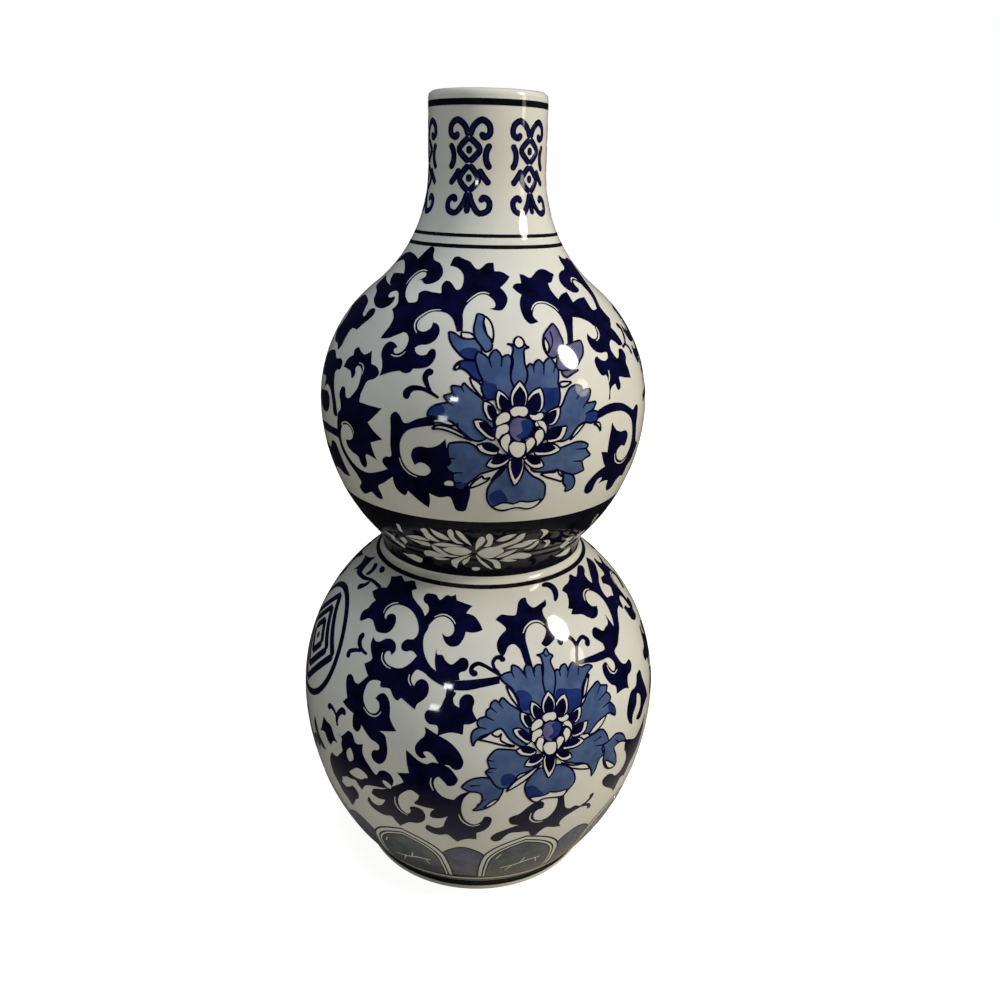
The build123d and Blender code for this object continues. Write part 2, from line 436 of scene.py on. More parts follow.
def fillShape(pot, points, layer="ink", turns=(0, 180), spacing=2.2, rowShare=0.87, clear=0.5, weld=1e-5):
    # A film with a drawn outline. A grid can't follow tips and hollows, so the inside is filled with
    # triangles between the outline and evenly spaced spots.
    line = outlineRun(points)[0]
    middle = line.mean(0)
    perDegree = math.radians(1) * float(wallAt(middle[1])[0])
    flat = (line - middle) * (perDegree, 1)
    low, high = flat.min(0), flat.max(0)
    gridX, gridY = np.meshgrid(np.arange(low[0], high[0], spacing),
                               np.arange(low[1], high[1], spacing * rowShare))
    gridX = gridX + (np.arange(len(gridX)) % 2)[:, None] * spacing / 2
    spots = np.stack([gridX.ravel(), gridY.ravel()], 1)
    if len(spots):
        apart = spots[:, None] - flat[None, :]
        nearest = np.hypot(apart[..., 0], apart[..., 1]).min(1)
        spots = spots[insideLine(flat, spots) & (nearest > clear * spacing)]
    corners = np.concatenate([flat, spots])
    loop = [(k, (k + 1) % len(flat)) for k in range(len(flat))]
    found = geometry.delaunay_2d_cdt([Vector(c) for c in corners.tolist()], loop, [], 0, weld, False)
    flatPlaces = np.array([tuple(v) for v in found[0]])
    triangles = np.array([tuple(f) for f in found[2]])
    triangles = triangles[insideLine(flat, flatPlaces[triangles].mean(1))]
    places = flatPlaces / (perDegree, 1) + middle
    a, b, c = (places[triangles[:, k]] for k in range(3))
    turned = (b[:, 0] - a[:, 0]) * (c[:, 1] - a[:, 1]) - (b[:, 1] - a[:, 1]) * (c[:, 0] - a[:, 0]) < 0
    triangles[turned] = triangles[turned][:, ::-1]
    edges = np.concatenate([triangles[:, [0, 1]], triangles[:, [1, 2]], triangles[:, [2, 0]]])
    back, uses = np.unique(np.sort(edges, 1), axis=0, return_inverse=True, return_counts=True)[1:]
    rim = edges[uses[back.ravel()] == 1]
    count = len(places)
    walls = np.stack([rim[:, 1], rim[:, 0], rim[:, 0] + count, rim[:, 1] + count], 1)
    faces = triangles.tolist() + (triangles[:, ::-1] + count).tolist() + walls.tolist()
    for turn in turns:
        top, away = onVase(places[:, 0] + turn, places[:, 1], layers.get(layer, layer))
        under = onVase(places[:, 0] + turn, places[:, 1], layers["sink"])[0]
        addToPot(pot, np.concatenate([top, under]), faces, np.concatenate([away, away]))


# The bare flanks between the seen side and its repeat take some of its leaves: (which, degrees on, up)
flankLeaves = dict(
    upper=[(7, 29, 0), (9, 33, 0)],
    lower=[(11, 62, 0), (10, 64, 0), (7, 145.5, -6), (4, 86, 0), (5, 90, -4), (3, 86, 0)])


def drawScroll(name, leaves, tendrils, whites):
    # The leaves with their tendrils and white lines; a flank's leaf brings the white lines in its bounds.
    leaves, whites = list(leaves), list(whites)
    for which, across, up in flankLeaves[name]:
        spots = np.array([point[:2] for point in leaves[which]])
        for run, runs in [(leaves[which], leaves)] + [(line, whites) for line in whites]:
            inside = np.array([point[:2] for point in run])
            if (inside >= spots.min(0)).all() and (inside <= spots.max(0)).all():
                runs.append([(x + across, y + up, *rest) for x, y, *rest in run])
    for leaf in leaves:
        fillShape(name + "_scroll", leaf)
    for line in tendrils:
        lay(name + "_scroll", brush(line), "ink")
    for line in whites:
        lay(name + "_lights", brush(line), "wash")
    emptyPot(name + "_scroll", heavyCobalt, "cobalt")
    emptyPot(name + "_lights", whiteGlaze, "white_glaze")


# Scrolling leaves of the upper bulb, each by its outline; a third number marks a sharp point
upperLeaves = [
    # beside the flower, left
    [(-14.5, 264.3, 1), (-20, 262.2), (-25, 260.1), (-26.4, 262.6), (-28, 263.8), (-29.3, 262.6),
     (-29.5, 257), (-29.8, 250), (-30, 245.2), (-32, 244.9), (-33.6, 242.6), (-32.4, 240.2),
     (-30.2, 238), (-30.2, 234.6), (-29.2, 230.6), (-26.6, 228.6), (-25, 231.2, 1), (-22, 227.6),
     (-18.3, 224.1, 1), (-17.4, 228), (-17.4, 231.5, 1), (-14, 230), (-10.4, 230.6), (-9.4, 227),
     (-8.6, 224.2), (-5.8, 224), (-4.6, 228), (-4, 236), (-8, 241), (-9, 246), (-10.6, 250),
     (-11.2, 255.4, 1), (-13.6, 252.6), (-16.5, 251.3), (-19.4, 251.4), (-21.6, 250.2), (-22.5, 247.4),
     (-21.4, 243.4, 1), (-19.4, 244.8), (-17.2, 243.9), (-16.2, 241.8), (-17.4, 239.8), (-20.6, 239.2),
     (-23.5, 240.6), (-25.4, 243.6), (-26.3, 248), (-25.9, 253), (-23.6, 257), (-19.5, 259),
     (-14.5, 260.2, 1)],
    # vine under the left leaf, with its two knobs
    [(-30.4, 240.4, 1), (-36, 237.2), (-42, 235.2), (-47, 236.5), (-51, 240.2), (-53.5, 245),
     (-53.4, 250), (-52.4, 252.6), (-55, 257, 1), (-55.8, 250), (-54.6, 242), (-51.2, 236.6),
     (-47.8, 232.4), (-46.4, 229.4), (-48.8, 225.4), (-47.4, 223.2), (-44.4, 224.4), (-42, 225.8),
     (-39.8, 223.6), (-37.2, 223.6), (-37, 226.4), (-37.6, 229.8), (-34.5, 232.5), (-29.6, 237, 1)],
    # left leaf
    [(-44.6, 270, 1), (-46.4, 267.2), (-48.8, 264.8), (-50.2, 264.9), (-51.6, 268.4), (-53.2, 268.6),
     (-54.6, 265), (-53.4, 262), (-53, 259.6), (-55, 257), (-53.2, 253.2), (-51.2, 253.4), (-49, 253.9),
     (-46.8, 252.4), (-46.3, 249.6), (-48, 247.8), (-50.5, 247.4, 1), (-50.2, 245), (-47.4, 242.6),
     (-44.6, 241.6), (-43.8, 238.6), (-42.2, 237.2), (-40.8, 238.8), (-40.6, 243.4), (-35.8, 242.4, 1),
     (-37.2, 246.6), (-37.8, 249.4, 1), (-32.8, 251.8, 1), (-36.6, 254.8), (-38.8, 257.4, 1), (-36.4, 260),
     (-33.2, 264, 1), (-38, 264.2), (-43, 264.6, 1), (-42.8, 268, 1)],
    # leaf over it
    [(-45.4, 267.6, 1), (-44.2, 273), (-44.5, 277), (-46.4, 278.5), (-48, 277.4), (-47.2, 275),
     (-48.6, 272.8), (-50.2, 275.4), (-52.6, 276), (-55.2, 276.2, 1), (-54.2, 279.6), (-51.3, 281.8, 1),
     (-51.6, 284.2), (-50.2, 285.5), (-47.6, 284), (-45.4, 283.2), (-42.3, 285.3, 1), (-41.4, 282.4),
     (-40.6, 280.2, 1), (-37.2, 278.9), (-36.2, 277.2), (-37.8, 274.8), (-40.6, 273.4), (-42, 270),
     (-43.2, 266.6, 1)],
    # trunk with the double hook, the crescent and the loop at the top left
    [(-18.5, 305.2), (-21.5, 305), (-24.5, 303), (-26.6, 299.6), (-25.8, 296.9), (-23.8, 295.8),
     (-21.6, 296.4), (-20.4, 297.8), (-20.3, 300.1, 1), (-18.4, 299.6), (-17, 297.8), (-16.7, 295),
     (-17.8, 292.5), (-20, 290.8), (-23, 290.2), (-24.6, 288.9), (-23.8, 287.2), (-21.8, 286.2),
     (-19.8, 286.7), (-18.5, 289.1), (-17.3, 289.2), (-16.4, 287.2), (-16.8, 284.4), (-18.6, 282),
     (-21.5, 281.1), (-23.6, 280.8, 1), (-24.4, 279.3), (-26.3, 278.7), (-28.4, 279.4, 1), (-31, 278.6),
     (-35.9, 276.2, 1), (-35.5, 279.2), (-36.2, 282), (-37.6, 285), (-37.4, 288.2), (-35.8, 290.1),
     (-33.6, 290), (-31.4, 288.3, 1), (-32.7, 287.3), (-32, 285.9), (-30, 286.2), (-28.5, 287.8),
     (-27.8, 290.4), (-28.4, 293.2), (-30.4, 294.8), (-33, 293.6), (-36.5, 291.6), (-40.4, 290.8, 1),
     (-39.6, 293.6), (-38.6, 296.5), (-38.7, 300), (-40.2, 302.2), (-42.2, 304, 1), (-41.2, 305.6),
     (-41.2, 307), (-43.4, 310), (-46, 312.4), (-48.5, 313.2), (-51, 312, 1), (-52, 316), (-50.6, 322),
     (-50, 329.6, 1), (-48.3, 331), (-45.5, 333.8), (-41, 336), (-38.3, 335.2), (-37.2, 332.4),
     (-35, 330.2), (-30.5, 329.2), (-27, 327.2), (-25, 324.2), (-25.6, 321.4), (-28.5, 319.2),
     (-32.5, 318.4), (-35, 319.2), (-36.5, 320.2), (-39.6, 319.8, 1), (-37, 320.9), (-35.5, 322),
     (-36, 323.8), (-39, 324.2), (-42, 322.8), (-43.9, 319.6), (-43, 315.6), (-40, 311.5),
     (-35.6, 308.1, 1), (-31.6, 309.2), (-32.4, 311.6), (-33.4, 313.4), (-31.6, 314.9), (-26, 314.6),
     (-21, 314.3, 1), (-18.5, 313, 1)],
    # leaf over the flower, left
    [(-22, 328, 1), (-21.7, 330.2), (-20.5, 332), (-18.5, 332.4), (-14.5, 331.4), (-9.5, 330.2), (-7, 328),
     (-4.5, 326.8), (-2, 328), (0.5, 329.7), (4.9, 330, 1), (5.2, 326.2, 1), (9, 326), (13.7, 323.6, 1),
     (10.5, 320.6), (7.6, 318.3, 1), (9.6, 316), (10.4, 313), (9.3, 309.6), (6.7, 306.7), (4, 306.9),
     (1.8, 307.5, 1), (4.3, 308.4), (4.4, 310.5), (2.6, 313.2), (0, 314.8), (-2.8, 314.4), (-5.5, 312.2),
     (-7.8, 309.3), (-8.9, 305.5), (-8.4, 301), (-8, 297, 1), (-10.2, 296.7, 1), (-11.3, 299.4),
     (-12.8, 302.4), (-15.5, 304.5), (-19.5, 305.2, 1), (-22, 309), (-21.6, 314.6), (-22.8, 319.4),
     (-21.6, 321), (-19, 320.5), (-16.5, 318.6), (-14, 316.6), (-12.7, 316.9), (-11.9, 319), (-11.9, 322),
     (-13, 324.6), (-15, 326.3), (-18, 327.5)],
    # leaf over the flower, right
    [(14, 318.4, 1), (15.4, 320), (19.4, 320.4, 1), (19.8, 324.8, 1), (22, 324.6), (25.6, 322.9),
     (29.6, 325), (33.7, 326.7), (37.7, 326.8), (41, 325.4), (43.6, 324, 1), (41, 322.2), (38.6, 320.4),
     (35.7, 320, 1), (35.1, 316.6), (36.1, 311.4, 1), (39, 313.4), (44.7, 314.9, 1), (44, 311.6),
     (43.6, 309.2, 1), (48.4, 310.6), (54.6, 311, 1), (53.4, 307.6), (53, 304.6), (56.8, 304.4, 1),
     (56, 298, 1), (50, 296, 1), (47.8, 297), (46.2, 299), (43.6, 300.8), (41, 301.8), (38.3, 302.4, 1),
     (36.5, 299), (35, 295.6), (33.4, 291, 1), (31, 291.6, 1), (32.2, 296), (32.6, 300), (32, 304.4),
     (30.4, 307.2), (27.6, 309.3), (25, 309.7), (22.4, 308.8), (20.8, 306.6), (19.9, 304),
     (21.5, 301.3, 1), (19.8, 300.7), (17.8, 300.4), (16.2, 302.2), (15.3, 305.4), (15.4, 309.6),
     (16.4, 312.6), (17.7, 314.6, 1), (15.8, 316.2)],
    # hooked leaf at the right, with the small leaf that hangs from it
    [(56, 304, 1), (48, 302, 1), (47.6, 295.6), (46.8, 293), (44.8, 291.8), (43, 292.6),
     (41.8, 294.6, 1), (40.7, 292.2), (41, 289.2), (42.4, 287), (45, 285.8), (48.6, 285.4),
     (48.2, 283.6), (45.6, 282.4), (43.6, 283.4), (42.4, 284.9), (40.8, 283.4), (41.2, 279.6),
     (42.8, 276.9), (44.8, 276.8), (45.3, 273.6), (44.2, 267, 1), (45, 267.2, 1), (46, 271.2),
     (49, 272.4), (49.2, 270.6), (50.4, 269.7), (51.8, 271.2), (51.6, 274.8), (55, 274),
     (59.9, 272.9, 1), (59.4, 277), (59, 279.6), (60.4, 281.8), (60, 284.6), (58.2, 285.7),
     (56.8, 285.6), (55.3, 283.2), (53.8, 282), (52.4, 283.8), (51.5, 286), (52.4, 289), (54.6, 290.1),
     (56.4, 288.8), (58, 287.2), (61.8, 287, 1), (61, 291), (58.8, 295, 1), (62.8, 298.9, 1),
     (60.4, 301.4), (59.4, 302.6)],
    # loop at the top right
    [(45, 320), (46.4, 322.6), (49.6, 324.6), (53, 325.4), (56.2, 325.8), (58.5, 327.1, 1),
     (57.9, 330.4), (59.6, 332.5), (62, 331.4), (66, 330.4), (72, 330.8), (80, 328, 1), (76, 321),
     (71, 315.6), (67.4, 311.8), (64, 308.4), (61.4, 305), (62, 300, 1), (55, 302, 1), (57.2, 304.6),
     (59.6, 307.5), (61.8, 310.8), (63.2, 313.8), (63.2, 316.8), (61.4, 319.2), (58.8, 320),
     (56.6, 319.4), (55.9, 317.6), (56.4, 315.6, 1), (54.6, 314.4), (52, 313.8), (48.8, 314.2),
     (46.3, 316.4)],
    # vine and leaf beside the flower, right
    [(37.6, 263.2, 1), (40.7, 264.6), (44, 265.4), (48, 265.2), (52, 264), (56, 261.7), (59.4, 259.8),
     (61.4, 261.2), (63.4, 260.6), (63.4, 257), (62.8, 253), (63.5, 249), (64.6, 245.4), (68.6, 242.4, 1),
     (66.4, 238.4), (64.8, 235.6), (62, 234), (60.6, 229.8), (57.9, 230.4), (55.4, 229), (54, 226.2),
     (51, 225.3), (49.4, 227.4), (48.8, 231.3, 1), (46, 231.8), (43.4, 231.3, 1), (44.6, 233.9),
     (42.6, 233.8), (41.5, 231.6), (41.2, 228.8), (39.6, 227.4), (37.4, 228.6), (36.9, 231.6), (39, 235.4),
     (42, 237.9), (44.8, 238.9, 1), (43.2, 241.4), (42.2, 244), (41.4, 246.3, 1), (44.6, 245.4, 1),
     (44.5, 250), (45, 254), (45.5, 257.8, 1), (46.8, 255.6), (48.4, 253.7, 1), (51, 252.6), (54.4, 252.2),
     (56, 250), (55.7, 247.2), (54.6, 245.3, 1), (52, 246.2), (50, 244.4), (50.6, 241.6), (52.6, 239.6),
     (55.2, 238.8), (58, 240), (59.6, 242.8), (60, 247), (59.2, 251.8), (57.8, 255.8), (55, 258.9),
     (51.6, 260.9), (48, 261.7), (44, 261.7), (40.7, 261), (37.6, 260, 1)],
    # far left
    [(-50, 330), (-58, 331.9), (-66, 332.3), (-76, 330), (-84, 325, 1), (-76, 326.6), (-66, 328.2),
     (-58, 325.2), (-54, 322.2, 1), (-62, 321.8), (-66, 321.4, 1), (-62, 317.6), (-56.6, 315.2, 1),
     (-66, 317), (-76, 319.4, 1), (-74, 314), (-64, 310.4), (-60, 306.9, 1), (-56, 304.8), (-52, 303.5),
     (-47.5, 303.8), (-45, 305.8), (-44.6, 308.2), (-46, 310.2), (-48, 309.2), (-50.6, 309.8),
     (-51.3, 312.2, 1), (-49, 318)],
    [(-78, 306), (-68, 306.5), (-62, 304), (-60.5, 301.5), (-58.5, 298.6), (-56.3, 298.4),
     (-56.6, 300.6), (-55, 302.6), (-52.4, 302.6), (-51, 300.4), (-52.2, 297.6), (-54.6, 294.6),
     (-56.4, 292, 1), (-61, 291.6), (-62, 288), (-62.4, 284), (-64.5, 281.6), (-67, 283.5), (-72, 284),
     (-79, 288, 1), (-76, 294), (-82, 300, 1)],
    [(-78, 276), (-72, 279.8), (-66.6, 280.6), (-62.6, 278.2), (-58.5, 278.8), (-56.8, 277.6),
     (-56.9, 275.2), (-60.4, 273.4), (-60.2, 270), (-58.6, 265.5), (-56.2, 260), (-55.6, 255.6),
     (-57.6, 255.5), (-59.6, 261), (-62, 265), (-66, 266.4), (-70, 263, 1), (-69, 268), (-76, 268, 1)],
    [(-64.5, 263.5), (-62.6, 262), (-62, 259), (-63.4, 256), (-66, 254.6), (-71, 255), (-77, 259, 1),
     (-74, 262), (-69, 263)],
    [(-55.4, 250.2, 1), (-60, 249.9), (-68, 249.6), (-78, 247, 1), (-70, 245.6), (-62, 246.4),
     (-55.6, 246.4, 1)],
    [(-62, 243.4), (-59, 243.2), (-57, 239), (-55, 233.6), (-53.2, 229.6, 1), (-58, 229), (-63, 230.4),
     (-70, 227, 1), (-69, 233), (-76, 236, 1), (-71, 240), (-66, 239)],
]
# Tendrils with round ends, and white lines left along the hooks: (degrees, up, width)
upperTendrils = [
    [(-13.8, 270.6, 0.9), (-16.5, 272.4, 1.4), (-20, 273.7, 1.7), (-23.4, 273, 2.6), (-24.6, 271, 3.4),
     (-23.5, 269.8, 3.2)],
    [(-16.2, 272.4, 1), (-18, 275.3, 1.9), (-18.9, 278.4, 2.4), (-17.8, 280.2, 2.8), (-16.7, 279.2, 3)],
    [(60.5, 286.2, 1), (64.6, 287, 1.3), (66.6, 289.6, 1.7), (68, 292.6, 2.2), (66.8, 294.8, 2.6),
     (65.4, 294, 2.8)],
    [(60.8, 285.6, 1), (64.5, 286.4, 1.3), (66.8, 284, 1.8), (67.2, 281.6, 3)],
]
upperWhites = [
    [(-26.7, 245.5, 0.4), (-25.6, 241.8, 0.5), (-23.6, 239.4, 0.5), (-21, 238.3, 0.3)],
    [(-53, 252.8, 0.3), (-51.2, 254.4, 0.5), (-48.8, 254.7, 0.5), (-46.4, 253.3, 0.4), (-45.6, 251, 0.3)],
    [(-43.8, 275.4, 0.3), (-43.8, 278, 0.5), (-45, 279.3, 0.4), (-46.8, 279.4, 0.3)],
    [(-33.2, 285.2, 0.3), (-31.4, 284.7, 0.5), (-29.2, 285.3, 0.4), (-27.8, 287, 0.3)],
    [(-25.4, 295, 0.3), (-27.2, 297.4, 0.5), (-27.6, 300, 0.6), (-25.6, 303.2, 0.6), (-22.6, 305.4, 0.5),
     (-18.5, 306, 0.3)],
    [(-24.6, 297.6, 0.3), (-25.6, 299.4, 0.4), (-24.6, 301.8, 0.4)],
    [(-36, 324.8, 0.3), (-39.4, 325, 0.5), (-43, 323.6, 0.6), (-45.2, 320.4, 0.6), (-45.2, 317.4, 0.3)],
    [(-8, 310.6, 0.3), (-6, 313, 0.5), (-3.2, 315.2, 0.6), (0, 315.7, 0.5), (2, 315, 0.3)],
    [(19.9, 306.6, 0.3), (21.6, 309, 0.5), (24.6, 310.5, 0.6), (28, 310.1, 0.6), (31.2, 307.8, 0.4),
     (32.4, 305.6, 0.3)],
    [(48.4, 296.6, 0.4), (48.2, 293.6, 0.6), (46.4, 291.6, 0.5), (45, 291, 0.3)],
    [(54.6, 319.2, 0.3), (57, 321, 0.6), (60, 321.2, 0.6), (62.6, 320, 0.3)],
    [(49, 243.8, 0.3), (49.6, 240.8, 0.5), (52, 238.5, 0.5), (55.4, 237.7, 0.5), (58.2, 238.8, 0.3)],
    [(-12, 236.4, 1.2), (-10.6, 237, 2.2), (-8.6, 236.6, 1.4)],
    [(45, 273.4, 0.3), (46.2, 276, 0.6), (46.4, 278.6, 0.4)],
]
drawScroll("upper", upperLeaves, upperTendrils, upperWhites)
print("upper scroll drawn")

